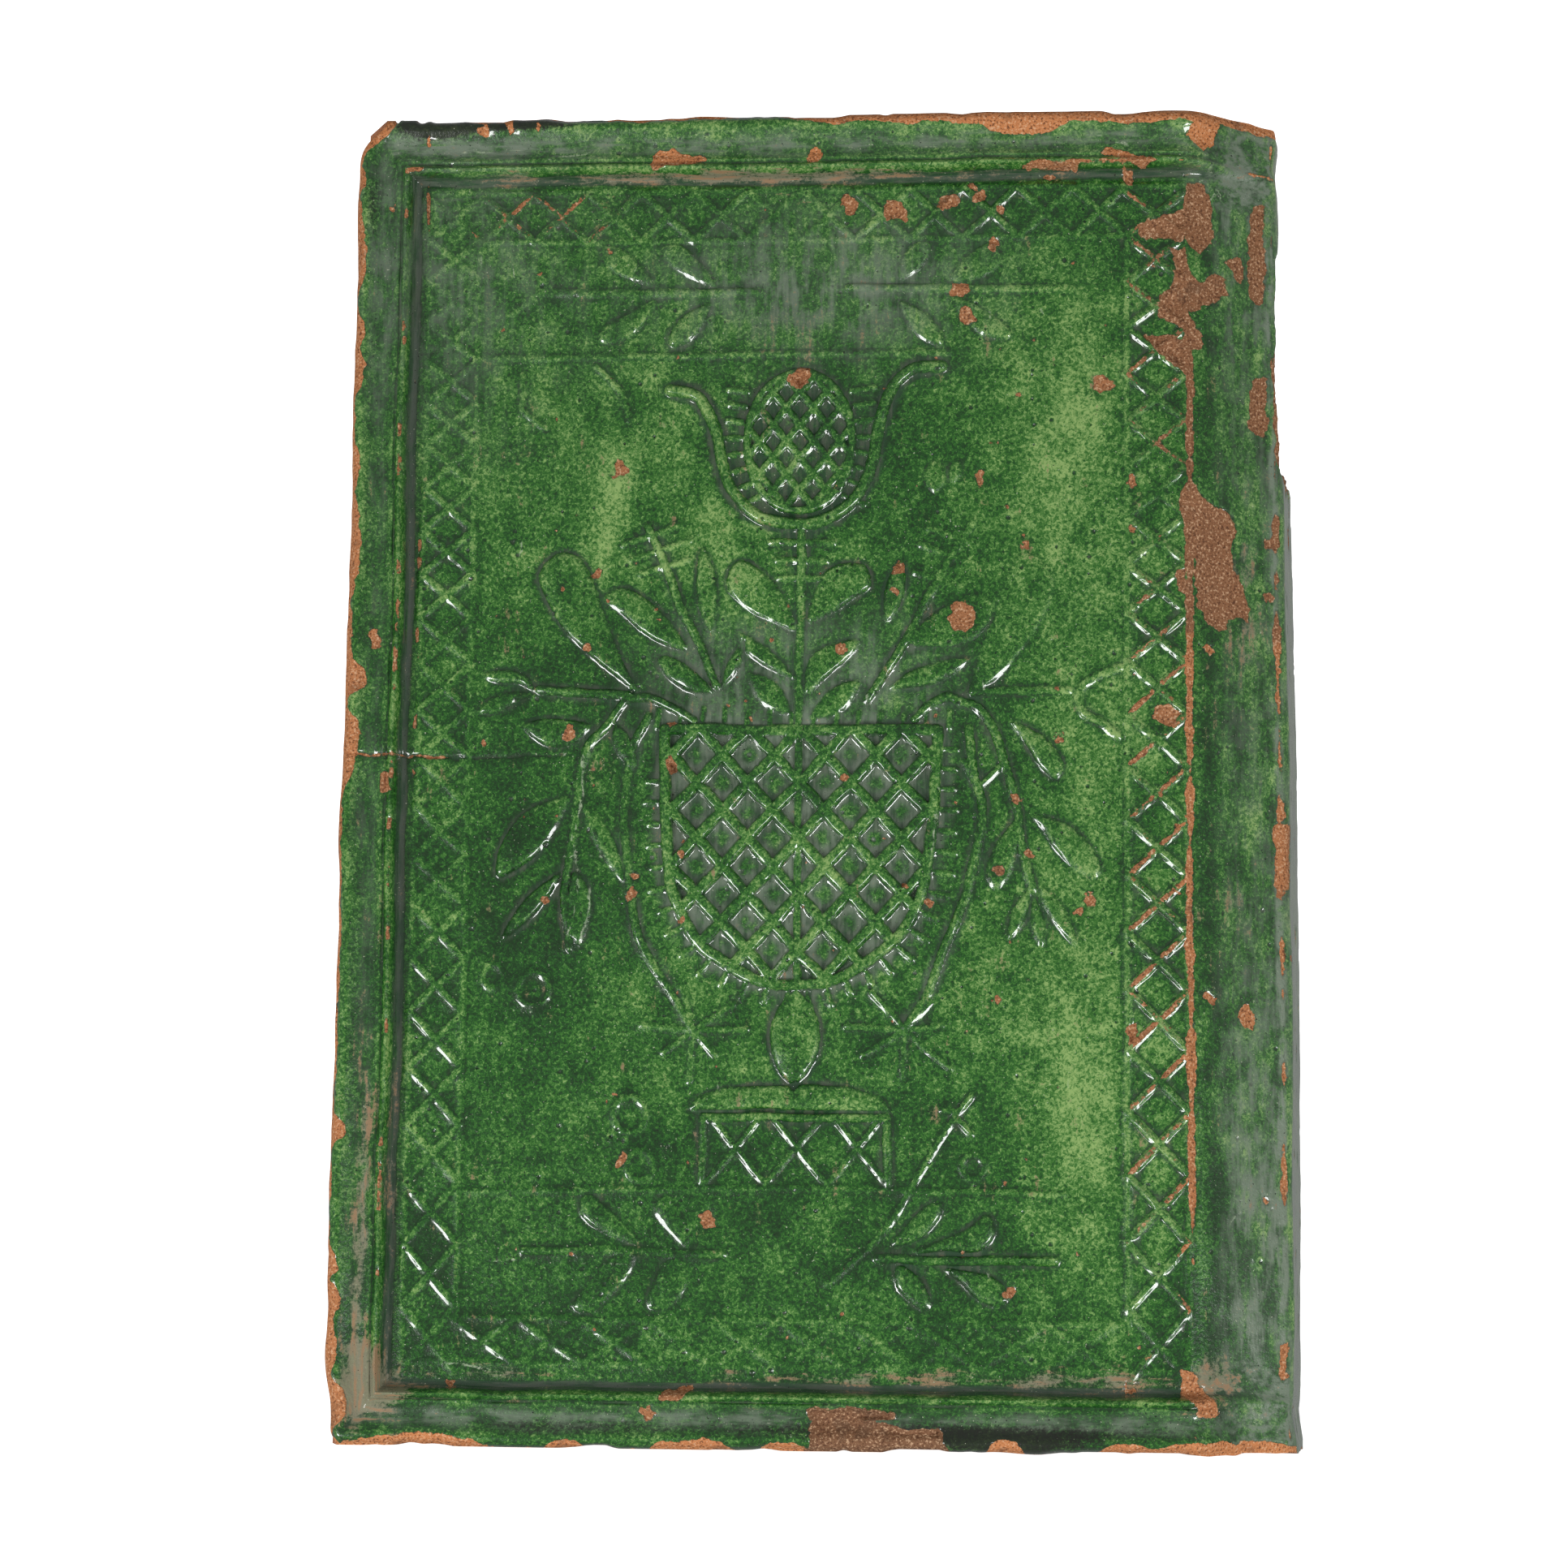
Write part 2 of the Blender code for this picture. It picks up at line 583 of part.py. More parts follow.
def prism(name, plan, low, high, rounding=0.0, steps=1):
    """An upright prism over a plan outline, with its left edges along Y rounded if asked."""
    bm = bmesh.new()
    base = [bm.verts.new((x, y, low)) for x, y in plan]
    face = bm.faces.new(base)
    top = bmesh.ops.extrude_face_region(bm, geom=[face])
    bmesh.ops.translate(bm, verts=[v for v in top["geom"] if isinstance(v, bmesh.types.BMVert)], vec=(0, 0, high - low))
    bmesh.ops.recalc_face_normals(bm, faces=bm.faces)
    if rounding:
        left = min(x for x, _ in plan)
        level = [
            e
            for e in bm.edges
            if all(abs(v.co.x - left) < 1e-6 for v in e.verts) and abs(e.verts[0].co.z - e.verts[1].co.z) < 1e-6
        ]
        bmesh.ops.bevel(bm, geom=level, offset=rounding, segments=steps, profile=0.5, affect="EDGES")
    return to_object(name, bm)


def face_plate():
    relief = Relief()
    for draw in (border, friezes, top_flower, stem_and_leaves, drooping_branches, vase):
        draw(relief)
    outline, creases = face_lines()
    points, faces = sheet(outline, creases + relief.lines)
    raised = relief.heights(np.array([tuple(p) for p in points]))
    heights = {tuple(p): frame_height(p.x, p.y) + r for p, r in zip(points, raised)}

    def front(p):
        return (p.x, recess(p.x) - heights[tuple(p)], p.y)

    def back(p):
        if p.x <= ARRIS_X:
            return (p.x, PLATE_WALL, p.y)
        share = (p.x - ARRIS_X) / (corner_x(p.y) - ARRIS_X)
        inner = ARRIS_X + (corner_x(p.y) - RETURN_WALL / 2 - ARRIS_X) * share
        return (inner, PLATE_WALL + (recess(corner_x(p.y)) - 0.1 * RETURN_WALL) * share, p.y)

    return solid_from_sheet("stove_tile", points, faces, front, back, ARRIS_X)


def return_slab():
    """The side return: a slab behind the outer arris, with a plain frame of its own."""
    length = (DEPTH - recess(corner_x(0.0))) / math.cos(RETURN_SPLAY)
    stations = [0.0, 0.3, 0.6, 0.85, 1.0]
    levels = [0.0, RETURN_RIM_HEIGHT / 2, -RETURN_HOLLOW_DEPTH, 0.0, 0.0]
    ends = [RETURN_RIM_HEIGHT, RETURN_RIM_HEIGHT, -RETURN_HOLLOW_DEPTH, 0.0, 0.0]
    along = [s * RETURN_MOULD for s in stations]
    rows = [i / (RETURN_BOW_ROWS + 1) for i in range(1, RETURN_BOW_ROWS + 1)]
    up = [s * RETURN_MOULD for s in stations]
    up += [RETURN_MOULD + (FACE_HEIGHT - 2 * RETURN_MOULD) * r for r in rows]
    up += [FACE_HEIGHT - s * RETURN_MOULD for s in reversed(stations)]
    outline = [Vector((u, 0.0)) for u in along] + [Vector((length, z)) for z in up]
    outline += [Vector((u, FACE_HEIGHT)) for u in reversed(along)] + [Vector((0.0, z)) for z in reversed(up[1:-1])]
    lines = [[Vector((u, 0.0)), Vector((u, FACE_HEIGHT))] for u in along[1:]]
    lines += [[Vector((0.0, z)), Vector((length, z))] for z in up[1:-1]]
    points, faces = sheet(outline, lines)
    panel = FACE_HEIGHT - 2 * RETURN_MOULD
    out = Vector((math.cos(RETURN_SPLAY), -math.sin(RETURN_SPLAY)))
    way = Vector((math.sin(RETURN_SPLAY), math.cos(RETURN_SPLAY)))

    def place(p, height):
        start = Vector((corner_x(p.y) - RETURN_TUCK, recess(corner_x(p.y)) + RETURN_TUCK))
        at = start + way * p.x + out * height
        return (at.x, at.y, p.y)

    def front(p):
        end = min(p.y, FACE_HEIGHT - p.y)
        tall = float(np.interp(end, along, ends))
        grow = float(np.interp(p.x, [0.0, RETURN_MOULD * 0.3], [0.0, 1.0]))
        swell = math.sin(math.pi * min(max((p.y - RETURN_MOULD) / panel, 0.0), 1.0))
        bow = RETURN_BOW * swell * min(p.x / RETURN_MOULD, 1.0)
        return place(p, float(np.interp(p.x, along, levels)) + tall * grow + bow)

    return solid_from_sheet("return_slab", points, faces, front, lambda p: place(p, -RETURN_WALL))


def rump_plan(setback, front, back):
    """Plan outline of the box behind the face, its right side inside the return's wall."""
    side = corner_x(FACE_HEIGHT) - RETURN_WALL / 2
    start = recess(side)
    splay = math.tan(RETURN_SPLAY)
    left = -FACE_LEFT + setback
    if front > PLATE_WALL:
        return [(left, front), (side + (front - start) * splay, front), (side + (back - start) * splay, back), (left, back)]
    return [(left, front), (ARRIS_X, front), (side, front + start), (side + (back - start) * splay, back), (left, back)]


def rump():
    """The three walls of the box: a block with its thicker lip, hollowed right through."""
    low, high = RUMP_SETBACK, FACE_HEIGHT - RUMP_SETBACK
    plan = rump_plan(RUMP_SETBACK, PLATE_WALL / 2, DEPTH)
    block = prism("rump", plan, low, high, RUMP_CORNER, RUMP_CORNER_STEPS)
    plan = rump_plan(RUMP_SETBACK - RUMP_LIP, DEPTH - RUMP_LIP_DEPTH, DEPTH)
    combine(block, prism("lip", plan, low - RUMP_LIP, high + RUMP_LIP), "UNION")
    left = -FACE_LEFT + RUMP_SETBACK + RUMP_WALL
    plan = [(left, -DEPTH), (3 * FACE_LEFT, -DEPTH), (3 * FACE_LEFT, 2 * DEPTH), (left, 2 * DEPTH)]
    hollow = prism("hollow", plan, low + RUMP_WALL, high - RUMP_WALL, RUMP_CORNER, RUMP_CORNER_STEPS)
    combine(block, hollow, "DIFFERENCE")
    return block


def break_cutter():
    """The lost flake: a rough wedge off the upper part of the return, out through its head."""
    rng = np.random.default_rng(7)
    bm = bmesh.new()
    rings = []
    for i in range(BREAK_STEPS + 1):
        t = i / BREAK_STEPS
        z = BREAK_FOOT + (FACE_HEIGHT - BREAK_FOOT) * 1.03 * t
        deep = BREAK_DEPTH * math.sin(math.pi * min(max(t, 0.04), 0.5)) ** 0.4
        deep += BREAK_ROUGHNESS * float(rng.uniform(-1, 0.4))
        start = float(np.interp(t, [0.8, 1.0], [BREAK_START, BREAK_HEAD_START]))
        x0, y0 = corner_x(z), recess(corner_x(z)) + start
        splay = (DEPTH - y0) * math.tan(RETURN_SPLAY)
        far, past = x0 + splay + RETURN_WALL * 2, DEPTH + RETURN_WALL
        section = [
            (x0 - 0.1 * deep, y0),
            (x0 - deep, y0 + 0.25 * (DEPTH - y0)),
            (x0 + splay - deep, past),
            (far, past),
            (far, y0),
        ]
        rings.append([bm.verts.new((x, y, z)) for x, y in section])
    for a, b in zip(rings, rings[1:]):
        for k in range(5):
            bm.faces.new([a[k], a[(k + 1) % 5], b[(k + 1) % 5], b[k]])
    bm.faces.new(rings[0][::-1])
    bm.faces.new(rings[-1])
    bmesh.ops.triangulate(bm, faces=bm.faces)
    bmesh.ops.recalc_face_normals(bm, faces=bm.faces)
    return to_object("break_cutter", bm)


def combine(base, other, operation):
    modifier = base.modifiers.new(operation.lower(), "BOOLEAN")
    modifier.operation = operation
    modifier.object = other
    modifier.solver = "EXACT"
    graph = bpy.context.evaluated_depsgraph_get()
    mesh = bpy.data.meshes.new_from_object(base.evaluated_get(graph))
    base.modifiers.remove(modifier)
    old = base.data
    base.data = mesh
    bpy.data.meshes.remove(old)
    bpy.data.objects.remove(other)


def stand_on_origin(obj):
    """Moves the mesh so that the origin is in the middle of its bounding box's base."""
    corners = np.array([v.co[:] for v in obj.data.vertices])
    low, high = corners.min(axis=0), corners.max(axis=0)
    middle = (low + high) / 2
    for vertex in obj.data.vertices:
        vertex.co -= Vector((middle[0], middle[1], low[2]))
    print(f"moved by {-middle[0]:.6f} {-middle[1]:.6f} {-low[2]:.6f}, size {high - low}")


def glaze():
    material = bpy.data.materials.new("green_lead_glaze")
    material.use_nodes = True
    shader = material.node_tree.nodes["Principled BSDF"]
    shader.inputs["Base Color"].default_value = GLAZE_COLOUR
    shader.inputs["Roughness"].default_value = GLAZE_ROUGHNESS
    shader.inputs["Metallic"].default_value = 0.0
    return material


def main():
    for obj in list(bpy.data.objects):
        bpy.data.objects.remove(obj)
    tile = face_plate()
    combine(tile, rump(), "UNION")
    combine(tile, return_slab(), "UNION")
    combine(tile, break_cutter(), "DIFFERENCE")
    stand_on_origin(tile)
    tile.data.materials.clear()
    tile.data.materials.append(glaze())


main()
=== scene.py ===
# %% [markdown]
# A pressed and glazed stove tile.
#
# The real object is one slab of red earthenware that was pressed by hand into a carved wooden mould,
# turned at the right into a corner, given a box of clay walls behind, fired, and fired again with a
# green lead glaze. Age has knocked chips out of the glaze and rubbed the arrises down to the clay.
# This script follows the same order: the slab, the carving, the firing, the wear, the glaze, the photo.

import math

import bmesh
import bpy
import numpy as np
from mathutils import Matrix, Vector, geometry


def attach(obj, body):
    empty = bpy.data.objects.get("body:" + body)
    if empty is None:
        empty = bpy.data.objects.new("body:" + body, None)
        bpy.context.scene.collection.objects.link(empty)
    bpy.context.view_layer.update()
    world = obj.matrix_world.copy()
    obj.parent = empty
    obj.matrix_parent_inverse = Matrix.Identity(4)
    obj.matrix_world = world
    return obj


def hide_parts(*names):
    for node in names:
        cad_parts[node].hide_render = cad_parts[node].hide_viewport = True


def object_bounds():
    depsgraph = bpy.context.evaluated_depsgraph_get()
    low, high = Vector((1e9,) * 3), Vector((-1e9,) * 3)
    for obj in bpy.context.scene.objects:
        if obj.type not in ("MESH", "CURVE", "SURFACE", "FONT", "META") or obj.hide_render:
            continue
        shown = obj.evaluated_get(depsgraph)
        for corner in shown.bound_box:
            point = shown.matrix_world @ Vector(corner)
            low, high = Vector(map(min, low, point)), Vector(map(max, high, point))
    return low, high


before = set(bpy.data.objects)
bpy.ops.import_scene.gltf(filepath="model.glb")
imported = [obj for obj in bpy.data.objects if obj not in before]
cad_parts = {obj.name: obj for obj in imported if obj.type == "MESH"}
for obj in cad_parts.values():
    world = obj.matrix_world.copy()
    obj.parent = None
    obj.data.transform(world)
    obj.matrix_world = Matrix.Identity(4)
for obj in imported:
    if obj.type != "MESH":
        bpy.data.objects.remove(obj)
cad_low, cad_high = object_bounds()
print("solid's box", tuple(cad_low), tuple(cad_high))

# %% [markdown]
# All drawing is done in millimetres on the mould: x to the right from the vase's stem, z up from the
# foot. The sizes below are those of the solid, so the dressed tile lies where the solid lies.

# %% The tile's sizes, in millimetres
TALL = 327.0  # height
LEFT = 111.8  # from the stem to the left edge
ARRIS = 95.5  # from the stem to the worn arris where the corner band starts
BAND_FOOT, BAND_HEAD = 22.3, 20.0  # width of the band in the front view, below and above
BAND_TURN = math.radians(32.6)
RETURN_TURN = math.radians(85.0)
DEEP = 78.0  # from the sunken field to the back
WALL = 9.5
BACK_OF_RIM = 4.8  # how far the rim stands proud of the field

to_row = Vector((cad_low.x * 1000 + LEFT, cad_low.y * 1000 + BACK_OF_RIM, cad_low.z * 1000))


def smooth(x, low, high):
    """0 below low, 1 above high, and a soft S between."""
    t = np.clip((x - low) / (high - low), 0.0, 1.0)
    return t * t * (3 - 2 * t)


def noise(u, v, size, seed):
    """Soft noise between about -1 and 1, made of random hills as far apart as size."""
    rng = np.random.default_rng(seed)
    total = np.zeros(np.broadcast(u, v).shape)
    for octave, share in ((1.0, 0.6), (2.1, 0.3), (4.3, 0.15)):
        nu, nv = int(np.ptp(u) / size * octave) + 4, int(np.ptp(v) / size * octave) + 4
        grid = rng.uniform(-1, 1, (nu, nv))
        a, b = (u - u.min()) / size * octave, (v - v.min()) / size * octave
        i, j = a.astype(int), b.astype(int)
        p, q = smooth(a - i, 0, 1), smooth(b - j, 0, 1)
        low = grid[i, j] * (1 - p) + grid[i + 1, j] * p
        high = grid[i, j + 1] * (1 - p) + grid[i + 1, j + 1] * p
        total += share * (low * (1 - q) + high * q)
    return total * 1.5


# %% [markdown]
# The slab's front is one sheet that bends twice: a little at the worn arris, and once more at the outer
# arris, where it becomes the side of the tile. A sheet like this is easiest to make as a grid whose
# columns run along the bend and whose rows run up. The turning angle grows softly at each arris, and
# adding up the steps in that direction gives each column its place. The grid is finest where there is
# carving, because there the shapes must come from the mesh and not from the shading.

# %% The bent sheet that the carving is pressed into
FINE = 0.46  # grid step on the carved face
COARSE = 1.5  # grid step on the side
FINE_TO, COARSE_FROM = 30, 31  # where the one ends and the other starts, past the worn arris
face_end = ARRIS + LEFT
BAND_RUN, SIDE_RUN = 26, 64.0  # along the sheet, over the corner band and over the side
rear_edge = face_end + BAND_RUN + SIDE_RUN
fine_steps = np.arange(0, face_end + FINE_TO, FINE)
coarse_steps = np.arange(face_end + COARSE_FROM, rear_edge, COARSE)
run = np.concatenate([fine_steps, coarse_steps, [rear_edge]])
rise = np.linspace(0, TALL, int(TALL / FINE) + 1)
S, Z = np.meshgrid(run, rise, indexing="ij")


def outer_arris(z):
    """Distance along the sheet to the outer arris at a height: the old mould leans a little."""
    return face_end + (BAND_FOOT + (BAND_HEAD - BAND_FOOT) * z / TALL) / math.cos(BAND_TURN)


def turning(s, z, soft=(4.0, 3.0)):
    """The way that the sheet runs at a place: 0 along the face, a right angle straight back."""
    first = smooth(s, face_end - soft[0], face_end + soft[0])
    second = smooth(s, outer_arris(z) - soft[1], outer_arris(z) + soft[1])
    return BAND_TURN * first + (RETURN_TURN - BAND_TURN) * second


def plan(turn):
    """Adds up the steps along the sheet: x and y of each grid point before carving."""
    steps = np.diff(run, prepend=0.0)[:, None]
    middle = np.concatenate([turn[:1], (turn[1:] + turn[:-1]) / 2])
    return np.cumsum(np.cos(middle) * steps, 0) - LEFT, np.cumsum(np.sin(middle) * steps, 0)


turn = turning(S, Z)
base_x, base_y = plan(turn)
# The left edge isn't straight: its upper corner is lost, and it draws in and is rounded at the foot.
HEAD_LOSS, FOOT_LOSS, CORNER_LOSS = 6.4, 1.9, 1.7
near_left = 1 - smooth(S, 0, 16)
crooked = HEAD_LOSS * np.exp(-(((TALL - Z) / 5.5) ** 2)) + FOOT_LOSS * (1 - smooth(Z, 6, 22))
crooked += CORNER_LOSS * np.exp(-((Z / 2.0) ** 2))
base_x += near_left * (crooked + 0.35 * noise(S, Z, 16.0, 3))
print("sheet of", S.size, "points, ends at x", base_x[-1].min(), base_x[-1].max(), "y", base_y[-1].max())

# %% [markdown]
# The drawing on the mould. Every bar and leaf is a short list of places that the carver's knife passed,
# read off the photo in millimetres. The bars are kept in groups, because each group was cut with a
# different gouge: broad for the cup of the flower, fine for the fringes. The left and the right half are
# a little different, as in all handwork.

# %% The carver's strokes
BARS = {"stem": [], "ruled": [], "fine": [], "bold": [], "vase": []}
LEAVES = []


def stroke(kind, *points):
    """A bar, straight from each place to the next."""
    BARS[kind].append(points)


def curved(points, steps=5, closed=False):
    """A smooth curve through the given places."""
    p = [np.array(q, float) for q in points]
    p = [p[-1], *p, p[0], p[1]] if closed else [2 * p[0] - p[1], *p, 2 * p[-1] - p[-2]]
    out = []
    for a, b, c, d in zip(p, p[1:], p[2:], p[3:]):
        for k in range(steps):
            t = k / steps
            first, second = (c - a) * t, (2 * a - 5 * b + 4 * c - d) * t**2
            out.append(0.5 * (2 * b + first + second + (3 * b - a - 3 * c + d) * t**3))
    return out if closed else out + [p[-2]]


def sweep(kind, *points):
    """A bent stroke."""
    BARS[kind].append(curved(points))


def petal(*points):
    """A leaf whose outline was read off the photo."""
    LEAVES.append(np.array(curved(points, 3, closed=True)))


def leaf(root, tip, width):
    """A plain leaf, given by its two ends and its width."""
    a, b = np.array(root, float), np.array(tip, float)
    along = b - a
    across = np.array([-along[1], along[0]]) / np.hypot(*along)
    t = np.linspace(0, 1, 9)
    half = np.outer(width / 2 * np.sin(np.pi * t) ** 0.8, across)
    middle = a + np.outer(t, along)
    LEAVES.append(np.concatenate([middle[:-1] + half[:-1], (middle - half)[:0:-1]]))


# %% Upper branches, flower and ruled lines
stroke("stem", (-66, 282.6), (-11, 282.2))
stroke("stem", (11, 283), (66, 282.4))
stroke("fine", (-66, 282.6), (-73, 277))
stroke("fine", (-63, 283), (-68, 290))
stroke("ruled", (-82, 266), (-6, 266.4), (36, 266.6))
stroke("ruled", (-82, 60.3), (0, 61.8), (64, 60.8))
stroke("fine", (-70, 262), (-70, 253), (-64, 248))
stroke("fine", (-52, 264), (-45, 257), (-43, 250))
petal((-38, 284.5), (-46, 286.5), (-50, 290), (-51, 295), (-46, 294), (-40, 289))
petal((-22, 284), (-27, 285), (-34, 289.5), (-36, 294), (-31, 295), (-25, 289))
petal((23, 285), (23, 290), (27, 294.5), (31, 295), (31, 291), (27, 286.5))
petal((36, 284.5), (38, 289.5), (43, 293.5), (47, 294), (48.5, 289.5), (44, 285.5))
petal((-37, 281), (-46, 276.5), (-51.5, 272), (-50, 269.5), (-44, 270.5), (-38.5, 276))
petal((-23.5, 280), (-30, 277), (-33.5, 272), (-33, 268.5), (-28, 270), (-24.5, 275.5))
petal((23.5, 280), (30, 277), (34, 272), (33.5, 268.5), (28.5, 270), (24.5, 275.5))
petal((37, 281), (46, 276.5), (51, 272), (50, 269.5), (44, 270.5), (38.5, 276))
sweep(
    "bold", (-33, 257.3), (-27, 256.3), (-24, 253), (-21.3, 246), (-18.8, 235), (-15.5, 229.5),
    (-11, 225.5), (-6, 224),
)
sweep(
    "bold", (-6, 224), (0, 223.3), (5, 224.5), (10, 227.2), (14, 231.5), (17, 239), (19, 250),
    (21.5, 257), (26.5, 262), (34, 263),
)
CONE_X, CONE_Z, CONE_WIDE, CONE_TALL = -0.8, 244.3, 13, 17.5  # middle and half sizes of the flower's cone
cone = [
    (CONE_WIDE * math.cos(a) + CONE_X, CONE_TALL * math.sin(a) + CONE_Z) for a in np.linspace(0, math.tau, 33)
]
stroke("stem", *cone)
leaf((32.5, 230.5), (32.5, 240), 5.5)
leaf((36.5, 233), (38, 240.5), 3.5)

# %% Stem, its leaves and the fern-like sprays
stroke("stem", (0, 222), (-0.5, 172))
for v, reach in ((219, 7.5), (214.5, 6.0), (210, 5.5)):
    stroke("fine", (-reach, v), (reach, v))
petal((-1, 197), (-5, 207), (-11, 213), (-15, 214.8), (-18, 212), (-18, 207), (-13, 202), (-8, 199.5))
petal((1, 199), (4, 209), (7, 213), (12, 214.3), (16, 213), (17, 208), (13, 205), (7, 201))
petal((-1, 185), (-4, 189), (-8, 193), (-15, 197), (-14.5, 193), (-11, 189.5), (-6, 186.5))
petal((1, 181), (2, 190), (7, 194), (14, 195), (13, 191.5), (7, 186))
leaf((-19, 183), (-14, 194.5), 3.6)
leaf((-2, 176), (-13, 187), 6.5)
leaf((2, 175), (15, 185), 6.5)
leaf((-22, 195.5), (-24.5, 219), 5.4)
leaf((21, 198), (24.5, 215.5), 5.4)
sweep("stem", (-38, 223), (-33, 212), (-30, 204), (-26, 196), (-20.5, 183.5))
sweep("stem", (42, 224), (36, 214), (32, 207), (27, 197), (16.5, 180))
for points in (
    ((-44, 218.5), (-30, 223.5)), ((-42, 214.8), (-27.5, 219.8)), ((-40, 211.2), (-28, 214.8)),
    ((31, 222.3), (45.5, 217)), ((29, 218.3), (44, 212.5)), ((27.5, 211.5), (39.5, 207)),
):
    stroke("fine", *points)
petal(
    (-40, 182), (-46, 186), (-53, 192), (-59, 198), (-63, 205), (-65, 210), (-64, 214), (-60, 217),
    (-55, 216), (-51, 210), (-48, 201), (-44, 191),
)
petal(
    (41, 181), (49, 186), (56, 195), (61, 204), (61.5, 209), (60, 213), (57, 215.5), (53, 216),
    (49, 209), (46, 199), (43, 190),
)
petal(
    (-28, 192), (-34, 193.5), (-39, 196.5), (-44, 201), (-48, 204), (-48, 206.5), (-44, 208),
    (-40, 206.5), (-34, 202), (-29.5, 196),
)
petal((26, 193.5), (36, 193), (43, 195), (47, 201), (45, 206), (40, 205.5), (34, 202.5), (28, 198))
petal((-21, 182), (-26, 181.5), (-31, 184), (-35, 188.5), (-34, 191), (-28, 189))
leaf((21, 182.5), (42, 190), 5.5)
petal((-65, 182), (-69, 183.5), (-76, 184), (-78, 186.5), (-72, 187.5), (-67, 185.5))
petal((-65, 181), (-69, 179.5), (-74, 176.5), (-79, 177), (-76, 180.5), (-70, 182))
sweep("stem", (77.5, 187.5), (72, 185.5), (68.5, 183), (67.5, 180), (69, 176.5), (73, 174.5), (77, 171))
stroke("stem", (-42, 181), (-64, 182.5))
stroke("stem", (42, 182), (65, 182))
sweep("stem", (-43, 180), (-37, 180.5), (-32, 178.5), (-26, 174.5))
sweep("stem", (36, 181), (32, 179), (28, 175))

# %% The hanging branches and the handles
sweep("stem", (-43, 180), (-47, 174), (-52, 168), (-54, 157), (-55, 145), (-57, 132), (-55, 119))
sweep("stem", (36, 181), (43, 178), (47, 172), (50, 163), (53, 152), (54, 143), (56.5, 134))
petal((-51, 174), (-57, 175.5), (-63, 175.5), (-68, 173.5), (-64, 169.5), (-59, 168), (-54, 170))
leaf((-45.5, 174.5), (-40.5, 163), 5)
petal((-56, 156), (-62, 155), (-67, 152.5), (-71, 148), (-74, 140), (-73, 136), (-67, 139), (-61, 145))
petal((-53, 155), (-48, 151), (-43.5, 142), (-42, 135), (-46, 138.5), (-51, 147))
leaf((-57.5, 138), (-72.5, 120.5), 4.6)
petal((-55, 138), (-51.5, 135), (-50, 129), (-52.5, 119.5), (-56, 124), (-56.5, 131))
petal((50, 175), (54, 170), (58, 163), (62, 160), (64, 164.5), (59, 171.5))
petal((56, 152), (59, 148), (62, 143), (66, 138.5), (71, 136), (73, 139), (70, 145), (64, 150))
petal((53.5, 152), (49, 147), (46, 142), (45, 137), (47.5, 133), (51, 137), (53.5, 145))
leaf((56, 134.5), (50.5, 121), 4.2)
leaf((57, 132), (58.5, 119), 3.6)
leaf((58, 135.5), (67.5, 119.5), 4.4)
sweep("stem", (-37, 176), (-41.5, 166), (-42.5, 150), (-41, 136), (-38.5, 122), (-31, 109), (-25, 99.5))
sweep(
    "stem", (41, 173), (42, 164), (44, 155), (44, 148), (42, 139), (39.5, 129), (35, 118), (31, 108),
    (26, 100),
)
stroke("fine", (43, 158.5), (40, 165))
stroke("fine", (43.5, 158.5), (48.5, 163.5))

# %% The vase, its foot, the stars and the small rings
VASE = (
    (-33, 172.5), (-32.6, 158), (-31.8, 145), (-30.5, 134), (-27, 125), (-23, 119.5), (-16, 114.5), (-8, 111),
    (0, 110.2), (9, 111.5), (16, 115.5), (22, 120), (26, 124.5), (29.5, 132), (31.5, 142), (33, 158),
    (33.3, 172.5),
)
vase_ring = curved(VASE, 3)
BARS["vase"].append([*vase_ring, vase_ring[0]])
leaf((-0.7, 85.5), (-0.2, 110), 12.5)
LEAVES.append(np.array([(-26, 80), (-24, 83.5), (-17, 86), (0, 86.8), (12, 86.2), (20, 84), (23.5, 80)]))
box_foot, box_head = 63.0, 78.6
stroke("stem", (-22.3, box_foot), (-22.3, box_head), (22, box_head), (22, box_foot))
for i in range(3):
    cross = -21.2 + 14.6 * i  # left end of a cross in the vase's foot
    stroke("fine", (cross, box_foot), (cross + 12.8, box_head))
    stroke("fine", (cross + 1, box_head), (cross + 13.8, box_foot))
for x, z, r in ((-37.3, 67, 3.3), (-40, 78.8, 3.9), (42.3, 67.3, 2.8), (-64, 109, 3.8), (-74, 112, 2.6)):
    stroke(
        "fine",
        *[(x + r * math.cos(a), z + 1.1 * r * math.sin(a)) for a in np.linspace(0, math.tau, 13)],
    )
for x, rays in (
    (-25, ((-12.5, 1), (-7, -5.5), (-0.5, -12.5), (5.5, -6), (13, 0), (10, 6), (-3, 10))),
    (26, ((-14, 1), (-10, -6), (-0.5, -11), (11, -9), (9, 1.5), (6, 7), (-8, 9))),
):
    for u, v in rays:
        stroke("fine", (x, 99.5), (x + u, 99.5 + v))
sweep("fine", (42, 84), (37, 77), (29, 64), (20, 50), (8, 39))
stroke("fine", (39, 80), (35, 80.5))
stroke("fine", (38, 79), (42, 75))

